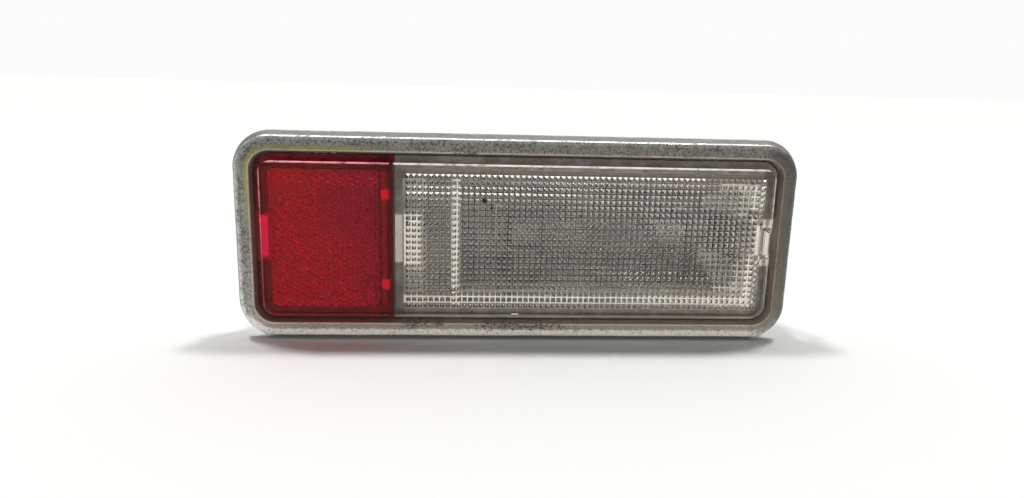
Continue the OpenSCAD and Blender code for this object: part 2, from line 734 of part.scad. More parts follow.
module bulb_glass() color([0.92, 0.92, 0.90, 0.4]) stand_up() {
    neck_r = cap_r - cap_t - side_fit;
    shoulder = glass_r - neck_r;
    for (side = [-1, 1]) on_bulb(side) rotate_extrude() {
        polygon(concat(
            [[glass_r - glass_t, 0], [glass_r, 0]],
            arc([neck_r, cap_at - shoulder - side_fit], shoulder, 0, 90, 8),
            [[neck_r, cone_at - side_fit], [neck_r - glass_t, cone_at - side_fit]],
            arc([neck_r, cap_at - shoulder - side_fit], shoulder - glass_t, 90, 0, 8)));
    }
}

module bulb_cap(side) {
    on_bulb(side) rotate_extrude() polygon([
        [cap_r - cap_t, cap_at], [cap_r, cap_at], [cap_r, cone_at], [tip_r, half_bulb],
        [0, half_bulb], [0, half_bulb - cap_t], [tip_r - cap_t, half_bulb - cap_t],
        [cap_r - cap_t, cone_at]]);
}

module bulb_cap_left() color([0.74, 0.72, 0.66]) stand_up() bulb_cap(-1);

module bulb_cap_right() color([0.74, 0.72, 0.66]) stand_up() bulb_cap(1);

module bulb_filament() color([0.50, 0.50, 0.52]) stand_up() {
    for (side = [-1, 1]) on_bulb(side) {
        cylinder(h = coil_l / 2, r = coil_r);
        cylinder(h = half_bulb - cap_t - side_fit, r = lead_r);
    }
}

// A leaf stands on a bead at its root, and its hole takes the cap's cone
module contact_leaf(side) {
    translate([bulb_x, 0, 0]) difference() {
        union() {
            block([side * leaf_mid - leaf_t / 2, side * leaf_mid + leaf_t / 2],
                  [-leaf_w, leaf_w], [-leaf_root, -leaf_end]);
            translate([side * leaf_mid, leaf_w, -leaf_root])
                rotate([90, 0, 0]) cylinder(h = 2 * leaf_w, r = leaf_bead_r);
        }
        translate([side * leaf_mid - cut, 0, -bulb_z])
            rotate([0, 90, 0]) cylinder(h = 2 * cut, r = leaf_hole_r);
    }
}

module contact_left() color([0.72, 0.52, 0.26]) stand_up() contact_leaf(-1);

module contact_right() color([0.72, 0.52, 0.26]) stand_up() contact_leaf(1);

// Upright through the housing's floor, foot along it and blade behind it
module terminal(side) {
    half_w = blade_w / 2;
    foot_end = leaf_mid + terminal_l;
    translate([bulb_x, 0, 0]) rotate([0, 0, side > 0 ? 0 : 180]) difference() {
        union() {
            block([upright_in, upright_in + blade_t], [-half_w, half_w], [-body_d - blade_t, upright_top]);
            block([upright_in, foot_end], [-half_w, half_w], [-body_d - blade_t, -body_d]);
            block([foot_end - blade_t, foot_end], [-half_w, half_w], [-body_d - blade_l, -body_d]);
        }
        translate([rivet_at, 0, -body_d - blade_t - cut])
            cylinder(h = blade_t + 2 * cut, r = rivet_r + run_fit);
        translate([foot_end - blade_t - cut, 0, blade_hole_at - body_d - blade_l])
            rotate([0, 90, 0]) cylinder(h = blade_t + 2 * cut, r = blade_hole_r);
    }
}

module terminal_live() color([0.74, 0.62, 0.34]) stand_up() terminal(-1);

module terminal_earth() color([0.74, 0.62, 0.34]) stand_up() terminal(1);

module contact_rivets() color([0.72, 0.58, 0.32]) stand_up() {
    for (side = [-1, 1]) translate([bulb_x + side * rivet_at, 0, 0]) {
        translate([0, 0, -body_d - blade_t - rivet_head_t])
            cylinder(h = floor_t + blade_t + 2 * rivet_head_t, r = rivet_r);
        translate([0, 0, -body_d - blade_t - rivet_head_t]) cylinder(h = rivet_head_t, r = rivet_head_r);
        translate([0, 0, cavity_z]) cylinder(h = rivet_head_t, r = rivet_head_r);
    }
}

bezel_frame();
frame_screws();
screw_washers();
red_lens();
clear_lens();
reflex_backing();
housing_tub();
lens_catch();
clip_foot();
mounting_clip();
clip_rivets();
reflector();
reflector_screws();
bulb_glass();
bulb_cap_left();
bulb_cap_right();
bulb_filament();
contact_left();
contact_right();
terminal_live();
terminal_earth();
contact_rivets();
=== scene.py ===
# Looks of the car interior light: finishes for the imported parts, a cast frame with waves
# and pits, both lenses with their prisms and reflex cells, two posts of the housing behind
# the prisms, and a floor, lights and a camera.
import math
import random
from collections import namedtuple

import bmesh
import bpy
import numpy as np
from mathutils import Matrix, Vector, noise


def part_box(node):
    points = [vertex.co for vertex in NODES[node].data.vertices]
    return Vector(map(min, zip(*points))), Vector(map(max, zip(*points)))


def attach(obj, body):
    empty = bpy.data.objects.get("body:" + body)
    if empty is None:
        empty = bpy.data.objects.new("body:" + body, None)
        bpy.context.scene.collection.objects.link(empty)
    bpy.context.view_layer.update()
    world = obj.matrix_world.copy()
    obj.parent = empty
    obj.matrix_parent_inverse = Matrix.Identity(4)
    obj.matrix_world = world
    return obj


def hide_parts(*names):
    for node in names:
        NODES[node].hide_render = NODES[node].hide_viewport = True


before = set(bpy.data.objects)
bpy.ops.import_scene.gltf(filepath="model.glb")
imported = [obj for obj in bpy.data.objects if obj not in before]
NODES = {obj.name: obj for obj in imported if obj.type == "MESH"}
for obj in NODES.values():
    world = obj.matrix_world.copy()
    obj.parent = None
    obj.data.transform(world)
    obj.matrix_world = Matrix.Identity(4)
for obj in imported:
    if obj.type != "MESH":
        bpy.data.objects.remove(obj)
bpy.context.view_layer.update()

MM = 0.001
scene = bpy.context.scene


def stand(x, y, z):
    """A point in the lamp's face-up frame, in millimetres, as a point of the scene."""
    return Vector((x * MM, -z * MM, y * MM))


def laid(point):
    """A point of the scene in the lamp's face-up frame, in millimetres."""
    return Vector((point.x, point.z, -point.y)) / MM


# Camera, fitted to the perspective of the photograph. Its place is in millimetres.

CAMERA_AT = (-11.398, -150.999, 32.068)
CAMERA_RIGHT = (0.99784, -0.06045, 0.02572)
CAMERA_FORWARD = (0.06465, 0.97308, -0.22123)
CAMERA_LENS = 27.07
CAMERA_NEAR = 0.005
CAMERA_FAR = 20.0
SENSOR_WIDTH = 36.0


def make_camera():
    """The scene's camera, squared up from its forward and right directions."""
    data = bpy.data.cameras.new("view")
    data.lens = CAMERA_LENS
    data.sensor_width = SENSOR_WIDTH
    data.clip_start = CAMERA_NEAR
    data.clip_end = CAMERA_FAR
    camera = bpy.data.objects.new("view", data)
    right = Vector(CAMERA_RIGHT).normalized()
    back = -Vector(CAMERA_FORWARD).normalized()
    up = back.cross(right).normalized()
    right = up.cross(back)
    turn = Matrix((right, up, back)).transposed()
    camera.matrix_world = Matrix.Translation(Vector(CAMERA_AT) * MM) @ turn.to_4x4()
    scene.collection.objects.link(camera)
    scene.camera = camera


make_camera()

# Shader helpers


def feed(tree, socket, value):
    """Links a socket to the output of a node, or sets it to a plain value."""
    if isinstance(value, bpy.types.NodeSocket):
        tree.links.new(value, socket)
    else:
        socket.default_value = value


def node(tree, kind, **values):
    """A new shader node. Values are socket names with spaces as underscores, or properties."""
    made = tree.nodes.new(kind)
    for name, value in values.items():
        socket = made.inputs.get(name.replace("_", " "))
        if socket is None:
            setattr(made, name, value)
        else:
            feed(tree, socket, value)
    return made


def new_material(name):
    """A material with its node tree and its one surface shader."""
    made = bpy.data.materials.new(name)
    made.use_nodes = True
    tree = made.node_tree
    tree.nodes.clear()
    shader = node(tree, "ShaderNodeBsdfPrincipled")
    output = node(tree, "ShaderNodeOutputMaterial")
    tree.links.new(shader.outputs[0], output.inputs["Surface"])
    return made, tree, shader


def place(tree):
    """Object coordinates in millimetres."""
    where = node(tree, "ShaderNodeTexCoord")
    scaled = node(tree, "ShaderNodeVectorMath", operation="SCALE", Vector=where.outputs["Object"])
    scaled.inputs["Scale"].default_value = 1 / MM
    return scaled.outputs[0]


def clouds(tree, where, size, detail, rough=0.55, stretch=None):
    """Noise whose blobs are about size millimetres across."""
    if stretch is not None:
        where = node(tree, "ShaderNodeVectorMath", operation="MULTIPLY", Vector=where).outputs[0]
        where.node.inputs[1].default_value = stretch
    made = node(tree, "ShaderNodeTexNoise", Vector=where, Scale=1 / size, Detail=detail, Roughness=rough)
    return made.outputs["Fac"]


def ramp(tree, value, low, high, out_low=0.0, out_high=1.0):
    """A smooth step from out_low to out_high as the value goes from low to high."""
    made = node(tree, "ShaderNodeMapRange", Value=value, From_Min=low, From_Max=high,
                To_Min=out_low, To_Max=out_high)
    made.interpolation_type = "SMOOTHSTEP"
    return made.outputs["Result"]


def blend_colour(tree, share, first, second):
    """The first colour where the share is 0 and the second where it is 1."""
    made = node(tree, "ShaderNodeMix", data_type="RGBA")
    feed(tree, made.inputs["Factor"], share)
    feed(tree, made.inputs[6], first)
    feed(tree, made.inputs[7], second)
    return made.outputs[2]


def maths(tree, operation, first, second=0.0):
    """The result of one operation on two values, each a number or the output of a node."""
    made = node(tree, "ShaderNodeMath", operation=operation)
    feed(tree, made.inputs[0], first)
    feed(tree, made.inputs[1], second)
    return made.outputs[0]


def bump(tree, shader, height, depth_mm):
    """Relief up to depth_mm deep on a shader's surface."""
    made = node(tree, "ShaderNodeBump", Height=height, Strength=1.0, Distance=depth_mm * MM)
    tree.links.new(made.outputs[0], shader.inputs["Normal"])


def axes(tree, where):
    """The lamp's own x, y and z at a point, in millimetres."""
    apart = node(tree, "ShaderNodeSeparateXYZ", Vector=where)
    return apart.outputs["X"], apart.outputs["Z"], maths(tree, "MULTIPLY", apart.outputs["Y"], -1.0)


def size_of(tree, value):
    """A value without its sign."""
    return maths(tree, "ABSOLUTE", value)


def rest_of(tree, share):
    """What a share leaves of 1."""
    return maths(tree, "SUBTRACT", 1.0, share)


def band(tree, value, middle, half, soft):
    """1 within half of the middle, down to 0 over the soft width."""
    away = size_of(tree, maths(tree, "SUBTRACT", value, middle))
    return ramp(tree, away, half, half + soft, 1.0, 0.0)


def both(tree, *shares):
    """The product of the shares: where all of them apply."""
    total = shares[0]
    for share in shares[1:]:
        total = maths(tree, "MULTIPLY", total, share)
    return total


def either(tree, *shares):
    """The largest of the shares: where any of them applies."""
    total = shares[0]
    for share in shares[1:]:
        total = maths(tree, "MAXIMUM", total, share)
    return total


def stored(tree, name):
    """A number kept in the mesh at each point."""
    return node(tree, "ShaderNodeAttribute", attribute_name=name).outputs["Fac"]


# Finishes. Zones are in millimetres along the lamp's own axes: a ramp is given as
# (from, to), with the values there where they aren't 0 and 1, and a band as (middle,
# half width, soft edge). Levels are those of a noise.

MOTTLE_LEVELS = (0.35, 0.68)
FINE_LEVELS = (0.3, 0.7)
MATT_ROUGH = (0.35, 0.6)
FINE_DEPTH = 0.02


def worn(name, colour, other, metallic, rough, grain=1.2):
    """A finish with two mottled tones, a varying gloss and a fine uneven surface."""
    made, tree, shader = new_material(name)
    where = place(tree)
    broad = clouds(tree, where, grain * 4, 5.0)
    fine = clouds(tree, where, grain * 0.35, 6.0, 0.65)
    tone = blend_colour(tree, ramp(tree, broad, *MOTTLE_LEVELS), colour, other)
    tree.links.new(tone, shader.inputs["Base Color"])
    shader.inputs["Metallic"].default_value = metallic
    gloss = ramp(tree, fine, *FINE_LEVELS, rough * 0.75, min(1.0, rough * 1.35))
    tree.links.new(gloss, shader.inputs["Roughness"])
    bump(tree, shader, fine, FINE_DEPTH)
    return made


def let_light_through(tree, shader, tint, share=None):
    """Lets shadow and diffuse rays, or only a share of them, pass through, tinted."""
    path = node(tree, "ShaderNodeLightPath")
    clear = node(tree, "ShaderNodeBsdfTransparent", Color=tint)
    passing = either(tree, path.outputs["Is Shadow Ray"], path.outputs["Is Diffuse Ray"])
    if share is not None:
        passing = both(tree, passing, share)
    mixed = node(tree, "ShaderNodeMixShader", Fac=passing)
    tree.links.new(shader.outputs[0], mixed.inputs[1])
    tree.links.new(clear.outputs[0], mixed.inputs[2])
    output = [n for n in tree.nodes if n.type == "OUTPUT_MATERIAL"][0]
    tree.links.new(mixed.outputs[0], output.inputs["Surface"])


GLASS_IOR = 1.5


def glass(name, colour):
    """Clear glass that casts only a faint shadow."""
    made, tree, shader = new_material(name)
    shader.inputs["Base Color"].default_value = colour
    shader.inputs["Transmission Weight"].default_value = 1.0
    shader.inputs["IOR"].default_value = GLASS_IOR
    shader.inputs["Roughness"].default_value = 0.0
    let_light_through(tree, shader, colour)
    return made


# Lens finish. LOW is below the flange's top, RIM outside the pockets and FAR where the
# rim is dirty. TONGUE is the laps under the red lens, where the clear lens has painted glow,
# END the dark line between the lenses, SEAM the red strip beside it and LIT the painted
# glow of the bright tabs there. FLECK and NOTCH are pale places, and TAB a faint film at
# the left end. OUTER, STRIP and UPPER make that dirt darker, UPPER as painted shade along
# the top. EDGE is a painted highlight on the edge of the face, which RUBBED makes stronger
# towards the top. WARM is painted light in one corner of the red, SHADED painted shade in a patch.

FACE_Z = 4.6
ROOF_Z = 2.6
ACRYLIC_IOR = 1.49
LOW_Z = (1.4, 1.7, 1.0, 0.0)
RELIEF_Z = (ROOF_Z + 0.3, ROOF_Z + 0.1)
RIM_X = (48.45, 48.65)
RIM_Y = (13.65, 13.85)
RIM_JOINT_X = (-24.5, 1.5, 0.2)
FAR_Y = (4.6, 5.1)
FAR_JOINT_X = (-26.5, 1.85, 0.05)
TONGUE_X = (-26.3, 0.8, 0.1)
TONGUE_Y = (8.9, 1.0, 0.2)
END_X = (-24.65, 0.06, 0.04)
SEAM_X = (-26.6, 1.05, 0.1)
# The LIT tabs are painted glow of light carried in along the clear tongues.
LIT_X = (-26.35, 0.5, 0.4)
LIT_Y = (8.9, 0.7, 0.6)
FLECK_X = (-0.8, 0.6, 0.1)
FLECK_Y = (-14.5, 0.1, 0.06)
FLECK_Z = (3.6, 3.8)
NOTCH_X = (49.0, 0.75, 0.1)
NOTCH_Y = (0.7, 3.1, 0.2)
TAB_X = (-48.0, -48.4)
TAB_SHARE = 0.12
OUTER_Y = (15.15, 15.35)
OUTER_RIGHT_X = (48.3, 48.5)
OUTER_LEFT_X = (-49.9, -50.1)
STRIP_X = (-23.75, 1.0, 0.2)
STRIP_SHARE = 0.6
# Painted shade: darker dirt along the top of the lenses.
UPPER_SHADE_Y = (13.0, 13.6)
UPPER_SHADE_SHARE = 0.65
SPECKLE_SHARE = 0.75
# Painted highlight on the face's outer edge, stronger towards the top.
EDGE_HIGHLIGHT_X = (49.55, 49.7)
EDGE_HIGHLIGHT_Y = (14.75, 14.9)
EDGE_HIGHLIGHT_Z = (4.15, 4.3)
RUBBED_HIGHLIGHT_Y = (-14.0, 14.4, 0.3, 1.0)
# Painted light in the red's upper left corner, and painted shade in a patch of it.
WARM_LIT_X = (-30.0, -46.0)
WARM_LIT_Y = (0.0, 12.0)
SHADED_X = (-32.5, 3.5, 5.0)
SHADED_Y = (6.0, 2.5, 4.0)
SHADED_SHARE = 0.6
SPECK_BLACK = (0.012, 0.01, 0.008, 1)
SPECKS = ((-7.2, 8.2, 0.55), (-5.8, 6.8, 0.3), (-6.1, 7.4, 0.16), (11.5, 5.5, 0.26),
          (-22.0, 3.8, 0.3), (17.2, 3.9, 0.16), (-9.4, 6.1, 0.14), (30.5, -6.0, 0.13),
          (-16.0, -8.0, 0.12))


def specks(tree, where):
    """Dark specks on the face, from SPECKS' x, y and radius, as a share of 1."""
    found = []
    for x, y, radius in SPECKS:
        spot = node(tree, "ShaderNodeVectorMath", operation="DISTANCE", Vector=where)
        spot.inputs[1].default_value = (x, -FACE_Z, y)
        found.append(ramp(tree, spot.outputs["Value"], radius * 0.85, radius, 1.0, 0.0))
    return either(tree, *found)


def lens_wear(tree, where, at, tongue_piped_light_share):
    """Each kind of wear at a point of a lens, and where light is painted, as shares of 1."""
    x, y, z = at
    low = ramp(tree, z, *LOW_Z)
    rim = either(tree, ramp(tree, size_of(tree, y), *RIM_Y), ramp(tree, size_of(tree, x), *RIM_X),
                 band(tree, x, *RIM_JOINT_X))
    far = either(tree, ramp(tree, size_of(tree, y), *FAR_Y), band(tree, x, *FAR_JOINT_X))
    tongue = both(tree, band(tree, size_of(tree, y), *TONGUE_Y), band(tree, x, *TONGUE_X))
    patchy = ramp(tree, clouds(tree, where, 3.0, 5.0), 0.25, 0.6, 0.8, 0.97)
    rim_dirt = both(tree, low, rim, far, patchy, rest_of(tree, tongue))
    seam = both(tree, band(tree, x, *SEAM_X), ramp(tree, z, *RELIEF_Z))
    # Painted glow on the bright tabs in the seam.
    lit = both(tree, seam, band(tree, size_of(tree, y), *LIT_Y), band(tree, x, *LIT_X))
    fleck = both(tree, band(tree, x, *FLECK_X), band(tree, y, *FLECK_Y), ramp(tree, z, *FLECK_Z))
    notch = both(tree, low, band(tree, x, *NOTCH_X), band(tree, y, *NOTCH_Y))
    tab = both(tree, ramp(tree, x, *TAB_X), low, TAB_SHARE)
    # Pale frost on the notch and a fleck, and painted glow of light carried along the clear tongues.
    frost_and_piped_light = either(tree, both(tree, low, tongue, tongue_piped_light_share), notch, fleck)
    black = either(tree, band(tree, x, *END_X), specks(tree, where))
    # Painted highlight along the face's edge, with rubbed patches, stronger towards the top.
    outside = either(tree, ramp(tree, size_of(tree, y), *EDGE_HIGHLIGHT_Y), ramp(tree, size_of(tree, x), *EDGE_HIGHLIGHT_X))
    rubbed_highlight = ramp(tree, clouds(tree, where, 1.6, 4.0), 0.3, 0.6, 0.55, 0.95)
    rubbed_highlight = both(tree, rubbed_highlight, ramp(tree, y, *RUBBED_HIGHLIGHT_Y))
    edge = both(tree, outside, ramp(tree, z, *EDGE_HIGHLIGHT_Z), rubbed_highlight)
    # The dirt share also carries the painted highlight on the edge and the painted glow.
    dirt = either(tree, rim_dirt, black, seam, tab, frost_and_piped_light, edge)
    return {"dirt": dirt, "frost_and_piped_light": frost_and_piped_light, "lit": lit, "black": black, "edge": edge, "outside": outside}


def lens_soil(tree, where, at, wear, tones):
    """The colour of a lens where it isn't clean, with its painted highlight, light and shade."""
    x, y, _ = at
    outer = either(tree, ramp(tree, size_of(tree, y), *OUTER_Y), ramp(tree, x, *OUTER_RIGHT_X),
                   ramp(tree, x, *OUTER_LEFT_X))
    joint = both(tree, band(tree, x, *STRIP_X), STRIP_SHARE)
    # Painted shade along the top.
    upper = both(tree, ramp(tree, y, *UPPER_SHADE_Y), UPPER_SHADE_SHARE)
    soil = blend_colour(tree, either(tree, outer, joint, upper), tones["dirt"], tones["darker_dirt_and_shade"])
    speckle = ramp(tree, clouds(tree, where, 0.45, 4.0, 0.75), 0.5, 0.4)
    soil = blend_colour(tree, both(tree, speckle, SPECKLE_SHARE), soil, tones["dark dirt"])
    # Frost, with painted glow on the tongues.
    soil = blend_colour(tree, wear["frost_and_piped_light"], soil, tones["scuff_and_painted_light"])
    # Painted glow of the bright tabs.
    soil = blend_colour(tree, wear["lit"], soil, tones["painted_glow"])
    soil = blend_colour(tree, wear["black"], soil, SPECK_BLACK)
    # Painted highlight along the edge of the face.
    return blend_colour(tree, wear["edge"], soil, tones["scuff_and_painted_light"])


def lens_body(tree, at, tones):
    """The colour of the plastic, with a corner painted brighter as painted light and a patch painted darker
    as painted shade.
    """
    x, y, _ = at
    # Painted light in one corner and painted shade in a patch.
    corner = both(tree, ramp(tree, x, *WARM_LIT_X), ramp(tree, y, *WARM_LIT_Y))
    body = blend_colour(tree, corner, tones["body"], tones["warm_lit"])
    shade = both(tree, band(tree, x, *SHADED_X), band(tree, y, *SHADED_Y), SHADED_SHARE)
    return blend_colour(tree, shade, body, tones["shaded"])


def lens_plastic(name, tones, relief_rough, tongue_piped_light_share):
    """Clear or red acrylic, dirty on its flange, with a painted highlight along its edge and painted light
    and shade in its colour.
    """
    made, tree, shader = new_material(name)
    where = place(tree)
    at = axes(tree, where)
    wear = lens_wear(tree, where, at, tongue_piped_light_share)
    soil = lens_soil(tree, where, at, wear, tones)
    base = blend_colour(tree, wear["dirt"], lens_body(tree, at, tones), soil)
    tree.links.new(base, shader.inputs["Base Color"])
    clean = rest_of(tree, wear["dirt"])
    tree.links.new(clean, shader.inputs["Transmission Weight"])
    shader.inputs["IOR"].default_value = ACRYLIC_IOR
    scuffs = clouds(tree, where, 0.5, 3.0, 0.6, (0.15, 1.0, 1.0))
    gloss = ramp(tree, scuffs, 0.45, 0.75, 0.015, 0.06)
    gloss = maths(tree, "ADD", gloss, ramp(tree, at[2], *RELIEF_Z, 0.0, relief_rough))
    gloss = maths(tree, "ADD", gloss, both(tree, wear["dirt"], 0.4))
    tree.links.new(gloss, shader.inputs["Roughness"])
    let_light_through(tree, shader, tones["tint"], both(tree, clean, rest_of(tree, wear["outside"])))
    return made


# Housing finish: its rim, a strip of its inside, and its outside, which has aged

WHITE_PALE = (0.93, 0.91, 0.87, 1)
WHITE_YELLOWED = (0.85, 0.82, 0.76, 1)
TUB_AGED = ((0.8, 0.77, 0.7, 1), (0.62, 0.57, 0.48, 1))
TUB_GRIME = (0.26, 0.2, 0.16, 1)
TUB_GRIME_AND_SHADE = (0.12, 0.095, 0.075, 1)
TUB_HIGH_Z = (-1.8, -0.8)
TUB_SIDE_X = (48.3, 48.8)
TUB_SIDE_Y = (13.3, 13.8)
TUB_TOP_Y = (11.4, 11.8)
TUB_END_X = (45.4, 46.2)
TUB_END_Y = (1.7, 4.3, 0.8)
TUB_NEAR_END_X = (47.4, 46.9)
TUB_FLOOR_X = ((-19.5, -19.2), (-12.4, -12.8))
TUB_FLOOR_Y = (0.0, 12.0, 0.3)
TUB_FLOOR_Z = (-18.8, -18.4)
TUB_FLOOR_SHARE = 0.8
TUB_WALL_Y = (12.3, 12.7)
TUB_WALL_X = ((47.4, 47.8), (-45.4, -45.8))
TUB_BACK_Z = (-18.2, -18.6)
TUB_BEHIND_Z = (-1.6, -2.2)
TUB_AGED_SHARE = 0.85
# Painted shade along the top of the rim: its grime is darker there.
TUB_DARK_SHADE_Y = (10.8, 11.4)


def tub_grime(tree, at, fine):
    """Where the housing is grimy: its rim under the lenses, and a strip of its inside."""
    x, y, z = at
    end = ramp(tree, x, *TUB_END_X)
    rim = either(tree, ramp(tree, size_of(tree, y), *TUB_SIDE_Y), ramp(tree, size_of(tree, x), *TUB_SIDE_X),
                 ramp(tree, y, *TUB_TOP_Y), both(tree, end, band(tree, y, *TUB_END_Y)))
    far = either(tree, ramp(tree, size_of(tree, y), *FAR_Y), both(tree, end, ramp(tree, x, *TUB_NEAR_END_X)))
    rim = both(tree, ramp(tree, z, *TUB_HIGH_Z), rim, far, ramp(tree, fine, 0.2, 0.5, 0.75, 1.0))
    floor = both(tree, ramp(tree, x, *TUB_FLOOR_X[0]), ramp(tree, x, *TUB_FLOOR_X[1]),
                 band(tree, y, *TUB_FLOOR_Y), ramp(tree, z, *TUB_FLOOR_Z), TUB_FLOOR_SHARE)
    return either(tree, rim, floor)


def tub_plastic(name):
    """Yellowed white plastic, grimy under the lenses with painted shade along the top of its rim, and stained
    on its outside.
    """
    made, tree, shader = new_material(name)
    where = place(tree)
    at = axes(tree, where)
    x, y, z = at
    broad = clouds(tree, where, 5.0, 5.0)
    fine = clouds(tree, where, 0.5, 6.0, 0.65)
    tone = blend_colour(tree, ramp(tree, broad, *MOTTLE_LEVELS), WHITE_PALE, WHITE_YELLOWED)
    outside = either(tree, ramp(tree, size_of(tree, y), *TUB_WALL_Y), ramp(tree, z, *TUB_BACK_Z),
                     ramp(tree, x, *TUB_WALL_X[0]), ramp(tree, x, *TUB_WALL_X[1]))
    outside = both(tree, outside, ramp(tree, z, *TUB_BEHIND_Z), TUB_AGED_SHARE)
    stains = ramp(tree, clouds(tree, where, 9.0, 7.0, 0.65), 0.42, 0.68)
    tone = blend_colour(tree, outside, tone, blend_colour(tree, stains, *TUB_AGED))
    # Painted shade: the grime is darker along the top.
    grime = blend_colour(tree, ramp(tree, y, *TUB_DARK_SHADE_Y), TUB_GRIME, TUB_GRIME_AND_SHADE)
    tone = blend_colour(tree, tub_grime(tree, at, fine), tone, grime)
    tree.links.new(tone, shader.inputs["Base Color"])
    tree.links.new(ramp(tree, fine, *FINE_LEVELS, *MATT_ROUGH), shader.inputs["Roughness"])
    bump(tree, shader, fine, FINE_DEPTH)
    return made


# Reflector finish

TRAY_TARNISH = ((0.27, 0.235, 0.2, 1), (0.2, 0.165, 0.14, 1))
# Painted light: pale zones where the reflector's walls catch light.
TRAY_PAINTED_LIGHT = (0.8, 0.78, 0.73, 1)
TRAY_RIGHT_X = (40.6, 42.0)
TRAY_RIGHT_HIGH_Y = (3.5, 5.0)
TRAY_RIGHT_LOW_Y = (-8.5, 3.5, 0.7)
TRAY_RIGHT_SHARE = 0.85
TRAY_LEFT_X = (-11.4, -12.2)
TRAY_SIDE_Y = (-11.2, -11.6)
TRAY_METALLIC = 0.75
TRAY_PAINTED_LIGHT_LOSS = 0.6


def tray_metal(name):
    """Reflector sheet: brown with tarnish, with painted light on its right end, its left wall and its lower
    side.
    """
    made, tree, shader = new_material(name)
    where = place(tree)
    x, y, _ = axes(tree, where)
    broad = clouds(tree, where, 6.0, 5.0)
    fine = clouds(tree, where, 0.6, 6.0, 0.65)
    tarnish = blend_colour(tree, ramp(tree, broad, *MOTTLE_LEVELS), *TRAY_TARNISH)
    # Painted light on the right end, with a darker gap in its middle, on the left wall and on the lower side.
    zones = either(tree, ramp(tree, y, *TRAY_RIGHT_HIGH_Y), band(tree, y, *TRAY_RIGHT_LOW_Y))
    right = both(tree, ramp(tree, x, *TRAY_RIGHT_X), zones, TRAY_RIGHT_SHARE)
    bright = either(tree, right, ramp(tree, x, *TRAY_LEFT_X), ramp(tree, y, *TRAY_SIDE_Y))
    bright = both(tree, bright, ramp(tree, fine, 0.25, 0.5, 0.7, 1.0))
    tree.links.new(blend_colour(tree, bright, tarnish, TRAY_PAINTED_LIGHT), shader.inputs["Base Color"])
    metallic = maths(tree, "SUBTRACT", TRAY_METALLIC, both(tree, bright, TRAY_PAINTED_LIGHT_LOSS))
    tree.links.new(metallic, shader.inputs["Metallic"])
    tree.links.new(ramp(tree, fine, *FINE_LEVELS, *MATT_ROUGH), shader.inputs["Roughness"])
    bump(tree, shader, fine, FINE_DEPTH)
    return made


# Frame finish. ACROSS zones count outwards from the line through the centres of the
# corners: 3.5 at the opening, about 4 on the lip, 6.35 on the crest, 7.5 at the outside.

LOWER_RAIL_Y = (-15.0, -17.0)
OUTER_HALF_ACROSS = (5.6, 6.3)
OUTER_HALF_RAGGED = 1.6
# Painted shade on the right rail, as well as its darker tarnish.
RIGHT_RAIL_SHADE_X = (47.0, 51.5)
RIGHT_RAIL_SHADE_ACROSS = (5.8, 5.2, 0.92, 0.85)
RIGHT_SHADE_TONE_ACROSS = (5.2, 5.9)
FLANK_ACROSS = (6.45, 6.75)
CREST_ACROSS = (6.35, 0.25, 0.3)
# Painted shade: the crest's pale wear fades out on the right rail.
CREST_SHADE_END_X = (54.0, 49.0, 0.1, 1.0)
# Painted highlight along the lip, fading out on the right rail.
LIP_HIGHLIGHT_ACROSS = (4.0, 0.08, 0.2)
LIP_HIGHLIGHT_END_X = (50.0, 47.0, 0.3, 1.0)
STAIN_UPPER_X = (-40.0, 7.0, 6.0)
STAIN_UPPER_Y = (14.0, 16.0)
STAIN_LEFT_X = (-47.5, -49.5)
STAIN_LEFT_Y = (2.0, 9.0)
STAIN_ACROSS = (4.4, 0.25, 0.5)
INSIDE_ACROSS = (3.8, 4.05, 1.0, 0.0)
EATEN_LOWER_X = ((-20.3, 2.0, 1.5), (0.0, 6.5, 5.0), (-15.8, 0.6, 0.5))
EATEN_LOWER_Y = (-16.0, -16.4)
EATEN_UPPER_X = (-11.3, 1.6, 1.2)
EATEN_UPPER_Y = (16.0, 16.4)
EATEN_ACROSS = (4.3, 0.45, 0.9)
TARNISH_GREYS = ((0.36, 0.35, 0.31, 1), (0.5, 0.485, 0.43, 1))
PALE_PATCH = (0.62, 0.6, 0.54, 1)
PALE_MOTTLE = (0.76, 0.74, 0.67, 1)
DARK_MOTTLE = (0.13, 0.115, 0.095, 1)
# Painted shade of the right rail, over its tarnish.
RIGHT_SHADE_TONES = ((0.24, 0.205, 0.17, 1), (0.2, 0.21, 0.18, 1))
FLANK_TONES = ((0.12, 0.122, 0.114, 1), (0.27, 0.27, 0.25, 1))
INSIDE_TONES = ((0.17, 0.14, 0.11, 1), (0.3, 0.25, 0.205, 1))
RAIL_TONES = {
    # The lower rail's outer half is painted pale: painted light over a sandy finish.
    "sandy_and_painted_light": (0.95, 0.92, 0.85, 1),
    "brown": (0.46, 0.41, 0.34, 1),
    "crest": (0.86, 0.86, 0.82, 1),
    # Painted highlight of the lip.
    "lip": (0.72, 0.65, 0.56, 1),
    "stain": (0.6, 0.6, 0.24, 1),
    "spots": (0.05, 0.04, 0.032, 1),
}
RAIL_ORDER = ("sandy_and_painted_light", "brown", "right", "flank", "crest", "lip", "stain", "inside", "spots")
RAIL_DULL = (("spots", 0.7), ("inside", 0.85), ("sandy_and_painted_light", 0.8), ("brown", 0.55), ("lip", 0.4))
RAIL_METALLIC = 0.8

Rail = namedtuple("Rail", "tree where x y across patchy fine mottle")


